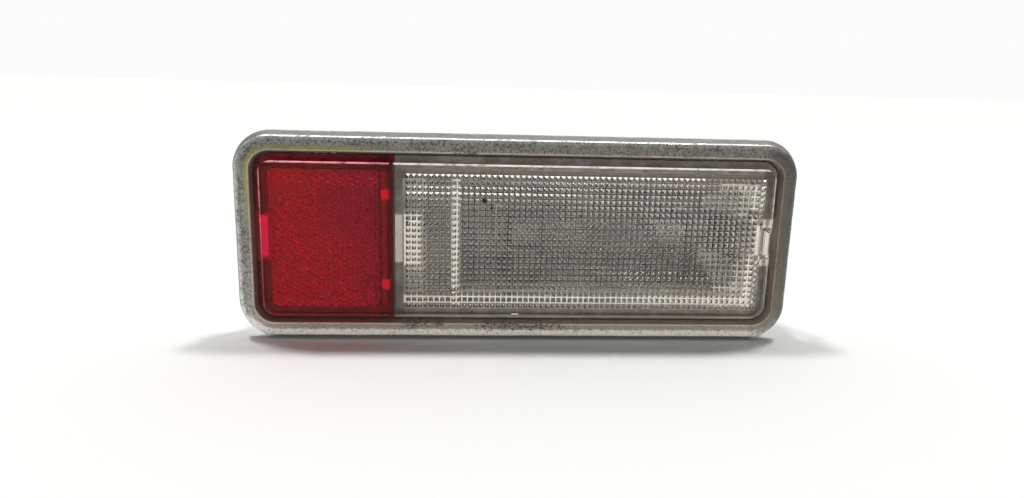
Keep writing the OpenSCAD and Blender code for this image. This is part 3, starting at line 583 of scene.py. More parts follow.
def rail_eaten(rail):
    """Three zones low on the frame and one high on it, where pits run together."""
    tree = rail.tree
    lower = either(tree, *[band(tree, rail.x, *zone) for zone in EATEN_LOWER_X])
    lower = both(tree, lower, ramp(tree, rail.y, *EATEN_LOWER_Y))
    upper = both(tree, band(tree, rail.x, *EATEN_UPPER_X), ramp(tree, rail.y, *EATEN_UPPER_Y))
    holes = ramp(tree, clouds(tree, rail.where, 0.8, 6.0, 0.75), 0.5, 0.4)
    return both(tree, either(tree, lower, upper), band(tree, rail.across, *EATEN_ACROSS), holes)


def rail_halves(rail):
    """The lower rail's outer half, painted pale as painted light over its sand-like finish, and its brown
    inner half.
    """
    tree = rail.tree
    below = ramp(tree, rail.y, *LOWER_RAIL_Y)
    ragged = maths(tree, "ADD", rail.across, both(tree, rail.patchy, OUTER_HALF_RAGGED))
    outer = ramp(tree, ragged, *OUTER_HALF_ACROSS)
    # Painted light over the sandy finish of the lower rail's outer half.
    sandy_and_painted_light = both(tree, below, outer, ramp(tree, rail.mottle, 0.3, 0.55, 0.45, 1.0))
    brown = both(tree, below, rest_of(tree, outer), ramp(tree, rail.mottle, 0.3, 0.6, 0.4, 0.9))
    return sandy_and_painted_light, brown


def rail_shares(rail):
    """Where each tone of RAIL_ORDER lies on the frame, as shares of 1."""
    tree = rail.tree
    sandy_and_painted_light, brown = rail_halves(rail)
    # Painted shade on the right rail.
    right = both(tree, ramp(tree, rail.x, *RIGHT_RAIL_SHADE_X), ramp(tree, rail.across, *RIGHT_RAIL_SHADE_ACROSS))
    crest = both(tree, band(tree, rail.across, *CREST_ACROSS), ramp(tree, rail.mottle, 0.35, 0.55, 0.15, 1.0),
                 ramp(tree, rail.patchy, 0.38, 0.54, 0.2, 1.0), ramp(tree, rail.x, *CREST_SHADE_END_X))
    # Painted highlight along the lip.
    lip = both(tree, band(tree, rail.across, *LIP_HIGHLIGHT_ACROSS), ramp(tree, rail.patchy, 0.3, 0.55, 0.3, 0.9),
               ramp(tree, rail.x, *LIP_HIGHLIGHT_END_X))
    upper = both(tree, band(tree, rail.x, *STAIN_UPPER_X), ramp(tree, rail.y, *STAIN_UPPER_Y))
    left = both(tree, ramp(tree, rail.x, *STAIN_LEFT_X), ramp(tree, rail.y, *STAIN_LEFT_Y))
    stain = both(tree, either(tree, upper, left), band(tree, rail.across, *STAIN_ACROSS),
                 ramp(tree, rail.patchy, 0.35, 0.6, 0.35, 1.0))
    dots = both(tree, ramp(tree, rail.patchy, 0.36, 0.3), ramp(tree, rail.fine, 0.45, 0.35))
    return {
        "sandy_and_painted_light": sandy_and_painted_light,
        "brown": brown,
        "right": right,
        "flank": ramp(tree, rail.across, *FLANK_ACROSS),
        "crest": crest,
        "lip": lip,
        "stain": stain,
        "inside": ramp(tree, rail.across, *INSIDE_ACROSS),
        "spots": either(tree, stored(tree, "pits"), dots, rail_eaten(rail)),
    }


def rail_colour(rail, shares):
    """Mottled grey with the tones of RAIL_ORDER laid over it one by one."""
    tree = rail.tree
    broad = clouds(tree, rail.where, 7.0, 6.0, 0.6)
    tone = blend_colour(tree, ramp(tree, broad, 0.35, 0.65), *TARNISH_GREYS)
    tone = blend_colour(tree, ramp(tree, rail.patchy, 0.45, 0.7, 0.0, 0.6), tone, PALE_PATCH)
    tone = blend_colour(tree, ramp(tree, rail.mottle, 0.5, 0.62, 0.0, 0.7), tone, PALE_MOTTLE)
    tone = blend_colour(tree, ramp(tree, rail.mottle, 0.37, 0.48, 0.75, 0.0), tone, DARK_MOTTLE)
    tones = dict(RAIL_TONES)
    tones["right"] = blend_colour(tree, ramp(tree, rail.across, *RIGHT_SHADE_TONE_ACROSS), *RIGHT_SHADE_TONES)
    tones["flank"] = blend_colour(tree, rail.patchy, *FLANK_TONES)
    tones["inside"] = blend_colour(tree, rail.patchy, *INSIDE_TONES)
    for name in RAIL_ORDER:
        tone = blend_colour(tree, shares[name], tone, tones[name])
    return tone


def cast_metal(name):
    """Tarnished die-cast metal: worn bright on its crest, stained along its lip, and pitted, with a painted
    highlight on the lip, painted light on the lower rail and painted shade on the right rail.
    """
    made, tree, shader = new_material(name)
    where = place(tree)
    x, y, _ = axes(tree, where)
    patchy = clouds(tree, where, 1.4, 6.0, 0.7)
    fine = clouds(tree, where, 0.22, 4.0, 0.75)
    mottle = clouds(tree, where, 0.5, 5.0, 0.65)
    rail = Rail(tree, where, x, y, stored(tree, "across"), patchy, fine, mottle)
    shares = rail_shares(rail)
    tree.links.new(rail_colour(rail, shares), shader.inputs["Base Color"])
    dull = either(tree, *[both(tree, shares[part], loss) for part, loss in RAIL_DULL])
    tree.links.new(maths(tree, "SUBTRACT", RAIL_METALLIC, dull), shader.inputs["Metallic"])
    gloss = ramp(tree, fine, *FINE_LEVELS, 0.34, 0.55)
    gloss = maths(tree, "SUBTRACT", gloss, both(tree, shares["crest"], 0.15))
    gloss = maths(tree, "ADD", gloss, ramp(tree, patchy, 0.5, 0.38, 0.0, 0.12))
    tree.links.new(gloss, shader.inputs["Roughness"])
    height = maths(tree, "ADD", fine, both(tree, patchy, 1.5))
    bump(tree, shader, maths(tree, "SUBTRACT", height, shares["spots"]), 0.03)
    return made


# Materials of the imported parts and of the new pieces

# In the lens tones, warm is painted light, shaded painted shade and glow painted glow; scuff also paints the
# edge's highlight and the tongues' light, and outer dirt is partly painted shade.
CLEAR_BODY = (0.95, 0.935, 0.9, 1)
CLEAR_FROST_AND_PAINTED_LIGHT = (0.93, 0.91, 0.88, 1)
CLEAR_TONES = {
    "body": CLEAR_BODY,
    "warm_lit": CLEAR_BODY,
    "shaded": CLEAR_BODY,
    "tint": (0.97, 0.96, 0.93, 1),
    "dirt": (0.24, 0.205, 0.17, 1),
    "darker_dirt_and_shade": (0.13, 0.107, 0.087, 1),
    "dark dirt": (0.085, 0.068, 0.052, 1),
    "scuff_and_painted_light": CLEAR_FROST_AND_PAINTED_LIGHT,
    "painted_glow": CLEAR_FROST_AND_PAINTED_LIGHT,
}
RED_TONES = {
    "body": (0.68, 0.004, 0.042, 1),
    "warm_lit": (0.75, 0.01, 0.012, 1),
    "shaded": (0.5, 0.003, 0.045, 1),
    "tint": (0.85, 0.02, 0.035, 1),
    "dirt": (0.34, 0.012, 0.055, 1),
    "darker_dirt_and_shade": (0.06, 0.006, 0.01, 1),
    "dark dirt": (0.13, 0.01, 0.02, 1),
    "scuff_and_painted_light": (0.9, 0.33, 0.38, 1),
    "painted_glow": (1.0, 0.04, 0.9, 1),
}
FRAME_METAL = cast_metal("frame_metal")
WHITE = worn("white_plastic", WHITE_PALE, WHITE_YELLOWED, 0.0, 0.45)
POST = worn("post_plastic", (0.74, 0.71, 0.665, 1), (0.65, 0.62, 0.57, 1), 0.0, 0.45)
TUB = tub_plastic("tub_plastic")
TRAY = tray_metal("reflector_metal")
SPRING = worn("spring_steel", (0.25, 0.26, 0.28, 1), (0.18, 0.18, 0.2, 1), 1.0, 0.35)
PLATED = worn("plated_steel", (0.5, 0.47, 0.39, 1), (0.36, 0.34, 0.28, 1), 1.0, 0.35)
BRASS = worn("brass", (0.62, 0.47, 0.2, 1), (0.42, 0.3, 0.14, 1), 1.0, 0.35)
BRONZE = worn("bronze", (0.33, 0.25, 0.165, 1), (0.24, 0.18, 0.12, 1), 1.0, 0.35)
NICKEL = worn("cap_metal", (0.28, 0.25, 0.21, 1), (0.19, 0.165, 0.135, 1), 1.0, 0.32)
WIRE = worn("filament", (0.35, 0.35, 0.37, 1), (0.25, 0.25, 0.27, 1), 1.0, 0.4, 0.3)
BULB = glass("bulb_glass", (0.97, 0.97, 0.95, 1))
CLEAR = lens_plastic("clear_plastic", CLEAR_TONES, 0.0, 0.95)
RED = lens_plastic("red_plastic", RED_TONES, 0.24, 0.0)


def dress(names, made):
    """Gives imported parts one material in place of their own."""
    for name in names:
        piece = NODES[name]
        piece.data.materials.clear()
        piece.data.materials.append(made)


dress(["bezel_frame"], FRAME_METAL)
dress(["housing_tub"], TUB)
dress(["lens_catch", "reflex_backing"], WHITE)
dress(["reflector"], TRAY)
dress(["clip_foot", "mounting_clip"], SPRING)
dress(["frame_screws", "screw_washers", "clip_rivets", "reflector_screws"], PLATED)
dress(["terminal_live", "terminal_earth", "contact_rivets"], BRASS)
dress(["contact_left", "contact_right"], BRONZE)
dress(["bulb_cap_left", "bulb_cap_right"], NICKEL)
dress(["bulb_filament"], WIRE)
dress(["bulb_glass"], BULB)

# Mesh helpers

MERGE = 0.002
SMOOTH_BELOW = 25


def cad_copy(name):
    """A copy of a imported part's mesh, with points that coincide merged."""
    mesh = bmesh.new()
    mesh.from_mesh(NODES[name].data)
    bmesh.ops.remove_doubles(mesh, verts=mesh.verts, dist=MERGE * MM)
    return mesh


def add_piece(mesh, name, made):
    """A mesh as an object of the scene with one material."""
    data = bpy.data.meshes.new(name)
    mesh.to_mesh(data)
    mesh.free()
    data.materials.append(made)
    piece = bpy.data.objects.new(name, data)
    scene.collection.objects.link(piece)
    return piece


def cut_off(mesh, point, outward):
    """Removes what lies beyond a plane."""
    whole = mesh.verts[:] + mesh.edges[:] + mesh.faces[:]
    bmesh.ops.bisect_plane(mesh, geom=whole, plane_co=point, plane_no=outward, clear_outer=True)


def smooth_below(mesh, degrees):
    """Smooth shading, but for edges that turn by more than that angle."""
    limit = math.radians(degrees)
    for face in mesh.faces:
        face.smooth = True
    for edge in mesh.edges:
        edge.smooth = len(edge.link_faces) == 2 and edge.calc_face_angle() < limit


def even_normals(piece):
    """Shades large flat faces flat and lets the small faces at their edges turn."""
    made = piece.modifiers.new("normals", "WEIGHTED_NORMAL")
    made.mode = "FACE_AREA"
    made.keep_sharp = True


# Lenses. A field is (x0, x1, y0, y1), the part of a pocket's roof that the relief fills.
# The window is the plain place beside the notch, where the field has no pits.

RELIEF_GAP = 0.02
FLAT = 0.003
SAME_SIDE = 0.01
FOOT_GAP = 0.03
PIT_SLOPE = 48.0
PIT_FOOT_Z = 3.3
LAND = 0.22
WINDOW_X = 47.1
WINDOW_Y = 0.3
WINDOW_HALF = 3.2
CLEAR_FIELD = (-22.4, 48.35, -13.55, 13.2)
CLEAR_COLUMNS = 64
CLEAR_ROWS = 23
RED_FIELD = (-48.35, -26.95, -13.55, 13.55)
REFLEX_WIDTH = 1.05
REFLEX_ERROR = 0.065
REFLEX_MERGE = 0.001
REFLEX_SEED = 7


def pits_sheet(field, columns, rows):
    """A sheet of square pits with flat lands between them, plain in the window."""
    x0, x1, y0, y1 = field
    points = []
    faces = []
    half_x = (x1 - x0) / columns / 2 - LAND / 2
    half_y = (y1 - y0) / rows / 2 - LAND / 2
    top = PIT_FOOT_Z + half_y * math.tan(math.radians(PIT_SLOPE))
    for row in range(rows + 1):
        for column in range(columns + 1):
            points.append((x0 + (x1 - x0) * column / columns, y0 + (y1 - y0) * row / rows, PIT_FOOT_Z))
    for row in range(rows):
        for column in range(columns):
            a = row * (columns + 1) + column
            corners = [a, a + 1, a + columns + 2, a + columns + 1]
            x, y = [sum(points[c][axis] for c in corners) / 4 for axis in (0, 1)]
            if x > WINDOW_X and abs(y - WINDOW_Y) < WINDOW_HALF:
                faces.append(tuple(reversed(corners)))
                continue
            middle = len(points)
            points.append((x, y, top))
            for sx, sy in ((-1, -1), (1, -1), (1, 1), (-1, 1)):
                points.append((x + sx * half_x, y + sy * half_y, PIT_FOOT_Z))
            for i in range(4):
                here = middle + 1 + i
                ahead = middle + 1 + (i + 1) % 4
                faces.append((here, middle, ahead))
                faces.append((corners[i], here, ahead, corners[(i + 1) % 4]))
    return points, faces


def add_reflex_cell(sheet, x, y, radius, step):
    """One cube corner: three square faces from an apex to a hexagon of six points."""
    top = ROOF_Z - RELIEF_GAP
    ring = []
    for i in range(6):
        angle = math.radians(60 * i)
        level = top - step if i % 2 == 0 else top
        ring.append(sheet.verts.new((x + radius * math.cos(angle), y + radius * math.sin(angle), level)))
    apex = sheet.verts.new((x, y, top - 2 * step))
    for i in (0, 2, 4):
        sheet.faces.new((apex, ring[i], ring[(i + 1) % 6], ring[(i + 2) % 6]))


def reflex_cells(field, width):
    """A sheet of cube corners, each a hexagon of that width, cut off at the field's edges."""
    x0, x1, y0, y1 = field
    radius = width / math.sqrt(3)
    step = width / math.sqrt(3) / math.sqrt(2)
    chance = random.Random(REFLEX_SEED)
    sheet = bmesh.new()
    for column in range(int((x1 - x0) / (1.5 * radius)) + 3):
        for row in range(int((y1 - y0) / width) + 3):
            x = x0 + (column - 0.5) * 1.5 * radius
            y = y0 + (row - 0.5 + 0.5 * (column % 2)) * width
            add_reflex_cell(sheet, x, y, radius, step)
    bmesh.ops.remove_doubles(sheet, verts=sheet.verts, dist=REFLEX_MERGE)
    for vert in sheet.verts:
        vert.co.x += chance.uniform(-REFLEX_ERROR, REFLEX_ERROR)
        vert.co.y += chance.uniform(-REFLEX_ERROR, REFLEX_ERROR)
        vert.co.z -= chance.uniform(0, REFLEX_ERROR)
    cut_off(sheet, (x0, 0, 0), (-1, 0, 0))
    cut_off(sheet, (x1, 0, 0), (1, 0, 0))
    cut_off(sheet, (0, y0, 0), (0, -1, 0))
    cut_off(sheet, (0, y1, 0), (0, 1, 0))
    sheet.verts.index_update()
    points = [tuple(v.co) for v in sheet.verts]
    faces = [tuple(v.index for v in f.verts) for f in sheet.faces]
    sheet.free()
    return points, faces


def along_side(points, axis, value):
    """Indices of the points that lie on one side of a rectangle, in order along it."""
    found = [i for i, p in enumerate(points) if abs(p[axis] - value) < MERGE]
    return sorted(found, key=lambda i: points[i][1 - axis])


def boundary_ring(mesh):
    """The vertices of the one open loop of a mesh, in order round it."""
    edges = [e for e in mesh.edges if e.is_boundary]
    ring = [edges[0].verts[0], edges[0].verts[1]]
    used = {edges[0]}
    while True:
        onward = [e for e in ring[-1].link_edges if e.is_boundary and e not in used]
        if not onward:
            return ring[:-1]
        used.add(onward[0])
        ring.append(onward[0].other_vert(ring[-1]))


def pocket_corners(ring):
    """The four corners of a lens's pocket, counterclockwise from lower left."""
    low = min(laid(v.co).y for v in ring)
    high = max(laid(v.co).y for v in ring)
    lower = sorted((v for v in ring if laid(v.co).y < low + SAME_SIDE), key=lambda v: v.co.x)
    upper = sorted((v for v in ring if laid(v.co).y > high - SAME_SIDE), key=lambda v: v.co.x)
    return [lower[0], lower[-1], upper[-1], upper[0]]


def chain_between(ring, corners, i):
    """The stretch of the ring from one corner to the next, with no other corner on it."""
    count = len(ring)
    start = ring.index(corners[i])
    for way in (1, -1):
        chain = [corners[i]]
        while chain[-1] not in corners or len(chain) == 1:
            chain.append(ring[(start + way * len(chain)) % count])
        if chain[-1] == corners[(i + 1) % 4]:
            return chain
    raise ValueError("the pocket's corners aren't in order")


def open_roof(mesh):
    """Takes the flat roof out of a lens's pocket. Gives back the ring round the hole."""
    roof = [f for f in mesh.faces
            if all(abs(laid(v.co).z - ROOF_Z) < FLAT for v in f.verts) and laid(f.normal).z < 0]
    bmesh.ops.delete(mesh, geom=roof, context="FACES")
    return boundary_ring(mesh)


def fill_roof(mesh, ring, points, faces, field):
    """Sets a sheet of relief into the ring, with walls and flat strips round it."""
    verts = [mesh.verts.new(stand(*p)) for p in points]
    for f in faces:
        mesh.faces.new([verts[i] for i in f])
    corners = pocket_corners(ring)
    sides = ((1, field[2]), (0, field[1]), (1, field[3]), (0, field[0]))
    for i, (axis, value) in enumerate(sides):
        side = along_side(points, axis, value)
        raised = [mesh.verts.new(stand(points[k][0], points[k][1], ROOF_Z)) for k in side]
        for k in range(len(side) - 1):
            mesh.faces.new((verts[side[k]], verts[side[k + 1]], raised[k + 1], raised[k]))
        chain = chain_between(ring, corners, i)
        first = laid(raised[0].co)
        if (laid(chain[0].co) - first).length > (laid(chain[-1].co) - first).length:
            raised.reverse()
        mesh.faces.new(chain + list(reversed(raised)))


def lens_with_relief(name, cad_name, relief, field, made):
    """A copy of a packed lens whose flat pocket roof is exchanged for a sheet of relief.

    Its foot is lifted by a hair, so that it doesn't share a plane with the housing's rim.
    """
    mesh = cad_copy(cad_name)
    fill_roof(mesh, open_roof(mesh), *relief, field)
    bmesh.ops.remove_doubles(mesh, verts=mesh.verts, dist=MERGE * MM)
    for vert in mesh.verts:
        if abs(laid(vert.co).z) < FLAT:
            vert.co.y = -FOOT_GAP * MM
    bmesh.ops.recalc_face_normals(mesh, faces=mesh.faces)
    smooth_below(mesh, SMOOTH_BELOW)
    piece = add_piece(mesh, name, made)
    even_normals(piece)
    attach(piece, "lens")
    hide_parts(cad_name)


prisms = pits_sheet(CLEAR_FIELD, CLEAR_COLUMNS, CLEAR_ROWS)
lens_with_relief("clear_lens_prisms", "clear_lens", prisms, CLEAR_FIELD, CLEAR)

cells = reflex_cells(RED_FIELD, REFLEX_WIDTH)
lens_with_relief("red_lens_reflex", "red_lens", cells, RED_FIELD, RED)

# Cast frame. An arc is (centre, radius, first degree, last degree, steps), a zone of pits
# is (x, y, half width, half height, count), and a pit's depth is a share of its radius.

RAIL_OUTER = 7.5
RAIL_INNER = 3.5
FRAME_CUT = 0.3
FOOT_Z = 0.35
SKIRT_Z = 0.4
DRAFT_Z = 1.4
CORNER_X = laid(Vector(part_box("bezel_frame")[1])).x - RAIL_OUTER
CORNER_Y = laid(Vector(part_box("bezel_frame")[1])).y - RAIL_OUTER
RING_STEP = 0.28
ARC_STEPS = 36
CREST_ARC = ((6.05, 2.0), 0.8, 15, 80, 10)
LIP_ARC = ((4.0, 2.91), 0.25, 80, 165, 8)
SINK = 0.05
PIT_ZONES = ((-20.5, -17.3, 2.2, 0.5, 40), (-15.8, -17.2, 0.9, 0.5, 16), (-3.5, -17.4, 5.0, 0.5, 70),
             (1.0, -17.8, 7.5, 0.8, 70), (-11.0, 17.3, 2.4, 0.5, 40))
PIT_SEED = 11
PIT_RADIUS = (0.09, 0.24)
PIT_DEPTH = (0.12, 0.3)
PIT_ABOVE_Z = 1.2
BACK_ACROSS = 5.25
FRAME_SMOOTH_BELOW = 40


def arc(centre, radius, first, last, steps):
    """Points along an arc, both ends included."""
    angles = [math.radians(first + (last - first) * i / steps) for i in range(steps + 1)]
    return [(centre[0] + radius * math.cos(a), centre[1] + radius * math.sin(a)) for a in angles]


def line(first, last, steps):
    """Points from first towards last, without last."""
    return [tuple(a + (b - a) * i / steps for a, b in zip(first, last)) for i in range(steps)]


def rail_outline():
    """The rail's section from its outer foot over the crest and the lip to its inner foot."""
    crest = arc(*CREST_ARC)
    lip = arc(*LIP_ARC)
    points = [(RAIL_OUTER, FOOT_Z)]
    points += line((RAIL_OUTER, SKIRT_Z), crest[0], 9)
    points += crest
    points += line(crest[-1], lip[0], 15)[1:]
    points += lip
    points += line(lip[-1], (RAIL_INNER, DRAFT_Z), 6)[1:]
    points += line((RAIL_INNER, DRAFT_Z), (RAIL_INNER, FOOT_Z), 3)
    points.append((RAIL_INNER, FOOT_Z))
    return points


def frame_path():
    """Points of the line through the corners' centres, each with its outward direction."""
    path = []
    corners = ((1, 1), (-1, 1), (-1, -1), (1, -1))
    for i, (sx, sy) in enumerate(corners):
        for k in range(ARC_STEPS):
            angle = math.radians(90 * (i + k / ARC_STEPS))
            path.append((Vector((sx * CORNER_X, sy * CORNER_Y)), Vector((math.cos(angle), math.sin(angle)))))
        first = Vector((sx * CORNER_X, sy * CORNER_Y))
        last = Vector((corners[(i + 1) % 4][0] * CORNER_X, corners[(i + 1) % 4][1] * CORNER_Y))
        steps = round((last - first).length / RING_STEP)
        angle = math.radians(90 * (i + 1))
        for k in range(steps):
            path.append((first.lerp(last, k / steps), Vector((math.cos(angle), math.sin(angle)))))
    return path


def pit_list():
    """Seeded pits in the zones of PIT_ZONES: place, radius and depth."""
    chance = random.Random(PIT_SEED)
    found = []
    for x, y, half_x, half_y, count in PIT_ZONES:
        for _ in range(count):
            at = (x + chance.uniform(-half_x, half_x), y + chance.uniform(-half_y, half_y))
            radius = chance.uniform(*PIT_RADIUS)
            found.append((at[0], at[1], radius, radius * chance.uniform(*PIT_DEPTH)))
    return found


def rail_grid(path, outline):
    """Points of the smooth rail and their inward directions, a row for each step of the path."""
    count = len(outline)
    points = np.zeros((len(path), count, 3))
    inward = np.zeros((len(path), count, 3))
    for k, (base, out) in enumerate(path):
        for i, (u, z) in enumerate(outline):
            before = outline[max(i - 1, 0)]
            after = outline[min(i + 1, count - 1)]
            across = Vector((-(after[1] - before[1]), after[0] - before[0])).normalized()
            points[k, i] = (base.x + out.x * u, base.y + out.y * u, z)
            inward[k, i] = (-out.x * across.x, -out.y * across.x, -across.y)
    return points, inward


def cast_waves(points):
    """How far the casting's slow waves and fine grain lower each point of the rail."""
    sink = np.zeros(points.shape[:2])
    for k, i in np.ndindex(sink.shape):
        at = Vector(points[k, i])
        wave = 0.045 * noise.noise(at * 0.16) + 0.03 * noise.noise(at * 0.55 + Vector((9, 0, 0)))
        grain = 0.012 * noise.noise(at * 1.7 + Vector((0, 5, 0)))
        sink[k, i] = SINK + wave + grain
    return sink


def dig_pits(points, sink):
    """Adds the pits to the sink. Gives back the share of a pit at each point."""
    pits = np.zeros(sink.shape)
    front = points[:, :, 2] > PIT_ABOVE_Z
    for x, y, radius, depth in pit_list():
        away = np.hypot(points[:, :, 0] - x, points[:, :, 1] - y) / radius
        hole = np.clip(1 - away ** 2, 0, 1) * front
        sink += depth * hole
        pits = np.maximum(pits, hole)
    return pits


def freedom(count):
    """How freely each point of the section sinks: its feet stay, to meet the back."""
    share = np.ones(count)
    share[[0, -1]] = 0.0
    share[[1, -2]] = 0.5
    return share


def add_rail(mesh, points, outline, pits):
    """Adds the rail's skin, with its place across the rail and its pits kept at each point."""
    across_layer = mesh.verts.layers.float.new("across")
    pit_layer = mesh.verts.layers.float.new("pits")
    rings = []
    for k in range(len(points)):
        ring = []
        for i, (u, z) in enumerate(outline):
            vert = mesh.verts.new(stand(*points[k, i]))
            vert[across_layer] = u
            vert[pit_layer] = pits[k, i]
            ring.append(vert)
        rings.append(ring)
    for k, ring in enumerate(rings):
        ahead = rings[(k + 1) % len(rings)]
        for i in range(len(outline) - 1):
            mesh.faces.new((ring[i], ahead[i], ahead[i + 1], ring[i + 1]))


def add_back(mesh):
    """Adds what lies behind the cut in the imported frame."""
    back = cad_copy("bezel_frame")
    cut_off(back, stand(0, 0, FRAME_CUT), (0, -1, 0))
    kept = bpy.data.meshes.new("back")
    back.to_mesh(kept)
    back.free()
    old = set(mesh.verts)
    mesh.from_mesh(kept)
    bpy.data.meshes.remove(kept)
    across_layer = mesh.verts.layers.float["across"]
    for vert in mesh.verts:
        if vert not in old:
            vert[across_layer] = BACK_ACROSS


def is_inner(vert):
    """Whether a point of the frame is nearer to its opening than to its outside."""
    at = laid(vert.co)
    beyond = Vector((max(abs(at.x) - CORNER_X, 0), max(abs(at.y) - CORNER_Y, 0)))
    return beyond.length < (RAIL_INNER + RAIL_OUTER) / 2


def join_rail(mesh):
    """Closes the gap between the rail and the back, inside and outside."""
    open_edges = [e for e in mesh.edges if e.is_boundary]
    inner = [e for e in open_edges if all(is_inner(v) for v in e.verts)]
    outer = [e for e in open_edges if not any(is_inner(v) for v in e.verts)]
    bmesh.ops.bridge_loops(mesh, edges=inner)
    bmesh.ops.bridge_loops(mesh, edges=outer)


def cast_frame():
    """The frame: a swept rail with waves and pits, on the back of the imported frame."""
    outline = rail_outline()
    points, inward = rail_grid(frame_path(), outline)
    sink = cast_waves(points)
    pits = dig_pits(points, sink)
    points -= inward * (np.maximum(sink, 0.0) * freedom(len(outline)))[:, :, None]
    mesh = bmesh.new()
    add_rail(mesh, points, outline, pits)
    add_back(mesh)
    join_rail(mesh)
    bmesh.ops.recalc_face_normals(mesh, faces=mesh.faces)
    smooth_below(mesh, FRAME_SMOOTH_BELOW)
    piece = add_piece(mesh, "cast_frame", FRAME_METAL)
    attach(piece, "lamp_body")
    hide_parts("bezel_frame")


cast_frame()

# Posts of the housing that reach up behind the prisms, each over a range of x and of y

POST_TOP = 2.35
POST_FOOT = -0.6
POST_ROUND = 0.35
POST_SEGMENTS = 3
JOINT_POST = ((-22.9, -19.5), (-5.2, 5.2))
NOTCH_POST = ((46.95, 48.3), (-2.4, 3.9))


def white_post(name, x, y):
    """A post of the housing over the ranges x and y, up to just behind the prisms."""
    mesh = bmesh.new()
    low = []
    high = []
    for px, py in ((x[0], y[0]), (x[1], y[0]), (x[1], y[1]), (x[0], y[1])):
        low.append(mesh.verts.new(stand(px, py, POST_FOOT)))
        high.append(mesh.verts.new(stand(px, py, POST_TOP)))
    mesh.faces.new(low)
    mesh.faces.new(high)
    for i in range(4):
        mesh.faces.new((low[i], low[(i + 1) % 4], high[(i + 1) % 4], high[i]))
    top = [e for e in mesh.edges if all(v in high for v in e.verts)]
    bmesh.ops.bevel(mesh, geom=top, offset=POST_ROUND * MM, segments=POST_SEGMENTS, affect="EDGES",
                    profile=0.5)
    bmesh.ops.recalc_face_normals(mesh, faces=mesh.faces)
    smooth_below(mesh, SMOOTH_BELOW)
    piece = add_piece(mesh, name, POST)
    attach(piece, "lamp_body")


white_post("joint_post", *JOINT_POST)
white_post("notch_post", *NOTCH_POST)

# Floor, light and world. FRONT_Y and NEAR_Y bound the stretch of floor in front of the
# light that gloss and clear plastic see as darker, in millimetres of the scene's y.

FLOOR_Z = -20.62
FLOOR_HALF = 3.0
FLOOR_ROUGH = 0.6
FLOOR_GLOSS = 0.0
FLOOR_COLOUR = (0.895, 0.894, 0.882, 1)
FRONT_FLOOR = (0.33, 0.33, 0.33, 1)
FRONT_Y = (-20.0, -21.0)
NEAR_Y = (-700.0, -699.0)
FRONT_LIGHT = 0.13
BACK_LIGHT = 0.95
LIGHT_TURN = (-0.12, 0.28)
SUN_FROM = (0.28, 0.2, 1.0)
SUN_POWER = 2.4
SUN_ANGLE = 8
BOX_FROM = (0.62, -0.5, 0.6)
BOX_SIZE = 0.55
BOX_POWER = 3.8
ZENITH_SIZE = 0.7
ZENITH_POWER = 1.65
SEEN_WHITE = (0.965, 0.965, 0.958, 1)
CARD_AT = (0, -1.0, 0.055)
CARD_SIZE = (1.2, 0.15)
CARD_POWER = 3.9
FILL_X = (-25.0, 50.4)
FILL_Y = (-13.2, 11.8)
FILL_Z = 2.5
FILL_POWER = 0.00215


def floor_material():
    """Pale and matt. In front of the light, gloss and clear plastic see it as darker."""
    made, tree, shader = new_material("floor")
    path = node(tree, "ShaderNodeLightPath")
    seen = either(tree, path.outputs["Is Glossy Ray"], path.outputs["Is Transmission Ray"])
    along = node(tree, "ShaderNodeSeparateXYZ", Vector=place(tree)).outputs["Y"]
    share = both(tree, seen, ramp(tree, along, *FRONT_Y), ramp(tree, along, *NEAR_Y))
    tree.links.new(blend_colour(tree, share, FLOOR_COLOUR, FRONT_FLOOR), shader.inputs["Base Color"])
    shader.inputs["Roughness"].default_value = FLOOR_ROUGH
    shader.inputs["Specular IOR Level"].default_value = FLOOR_GLOSS
    return made


def make_floor():
    """A wide flat floor just under the frame."""
    mesh = bmesh.new()
    corners = ((-1, -1), (1, -1), (1, 1), (-1, 1))
    mesh.faces.new([mesh.verts.new((x * FLOOR_HALF, y * FLOOR_HALF, FLOOR_Z * MM)) for x, y in corners])
    add_piece(mesh, "floor", floor_material())


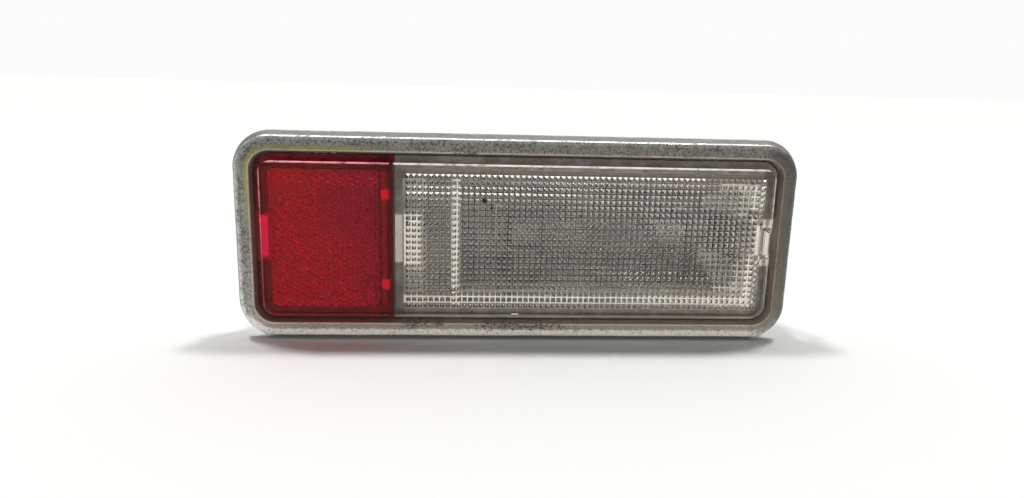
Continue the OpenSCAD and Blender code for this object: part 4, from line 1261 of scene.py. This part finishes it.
def make_world():
    """Soft light from behind, a dim room in front, and plain white to look at."""
    world = bpy.data.worlds.new("studio")
    scene.world = world
    world.use_nodes = True
    tree = world.node_tree
    tree.nodes.clear()
    where = node(tree, "ShaderNodeTexCoord").outputs["Generated"]
    apart = node(tree, "ShaderNodeSeparateXYZ", Vector=where)
    light = ramp(tree, apart.outputs["Y"], *LIGHT_TURN, FRONT_LIGHT, BACK_LIGHT)
    seen = node(tree, "ShaderNodeLightPath").outputs["Is Camera Ray"]
    lit = node(tree, "ShaderNodeBackground", Strength=light)
    plain = node(tree, "ShaderNodeBackground", Color=SEEN_WHITE)
    mixed = node(tree, "ShaderNodeMixShader", Fac=seen)
    tree.links.new(lit.outputs[0], mixed.inputs[1])
    tree.links.new(plain.outputs[0], mixed.inputs[2])
    output = node(tree, "ShaderNodeOutputWorld")
    tree.links.new(mixed.outputs[0], output.inputs["Surface"])


def add_lamp(data, name, facing):
    """A lamp at the origin that shines from the facing direction."""
    lamp = bpy.data.objects.new(name, data)
    lamp.rotation_euler = Vector(facing).to_track_quat("Z", "Y").to_euler()
    scene.collection.objects.link(lamp)
    return lamp


def make_sun(name, facing):
    """One of two soft suns, above and a little behind the light."""
    data = bpy.data.lights.new(name, "SUN")
    data.energy = SUN_POWER / 2
    data.angle = math.radians(SUN_ANGLE)
    add_lamp(data, name, facing)


def make_box(name, facing, size, power, gloss):
    """A soft box a metre away. Clear plastic shows it, and metal and gloss do if gloss is true."""
    data = bpy.data.lights.new(name, "AREA")
    data.shape = "SQUARE"
    data.size = size
    data.energy = power
    lamp = add_lamp(data, name, facing)
    lamp.location = Vector(facing).normalized()
    lamp.visible_diffuse = False
    lamp.visible_glossy = gloss
    lamp.visible_camera = False


def make_panel(name, at, size, power, gloss):
    """An upright sheet of light that shines backwards and isn't seen through clear plastic."""
    data = bpy.data.lights.new(name, "AREA")
    data.shape = "RECTANGLE"
    data.size = size[0]
    data.size_y = size[1]
    data.energy = power
    lamp = add_lamp(data, name, (0, -1, 0))
    lamp.location = at
    lamp.visible_camera = False
    lamp.visible_transmission = False
    lamp.visible_glossy = gloss


make_floor()
make_panel("low_card", CARD_AT, CARD_SIZE, CARD_POWER, False)
make_panel("lens_fill", stand(sum(FILL_X) / 2, sum(FILL_Y) / 2, FILL_Z),
           ((FILL_X[1] - FILL_X[0]) * MM, (FILL_Y[1] - FILL_Y[0]) * MM), FILL_POWER, True)
make_world()
make_sun("key_left", (-SUN_FROM[0], SUN_FROM[1], SUN_FROM[2]))
make_sun("key_right", SUN_FROM)
make_box("box_left", (-BOX_FROM[0], BOX_FROM[1], BOX_FROM[2]), BOX_SIZE, BOX_POWER, False)
make_box("box_right", BOX_FROM, BOX_SIZE, BOX_POWER, False)
make_box("box_above", (0, 0, 1), ZENITH_SIZE, ZENITH_POWER, True)
scene.view_settings.view_transform = "Standard"
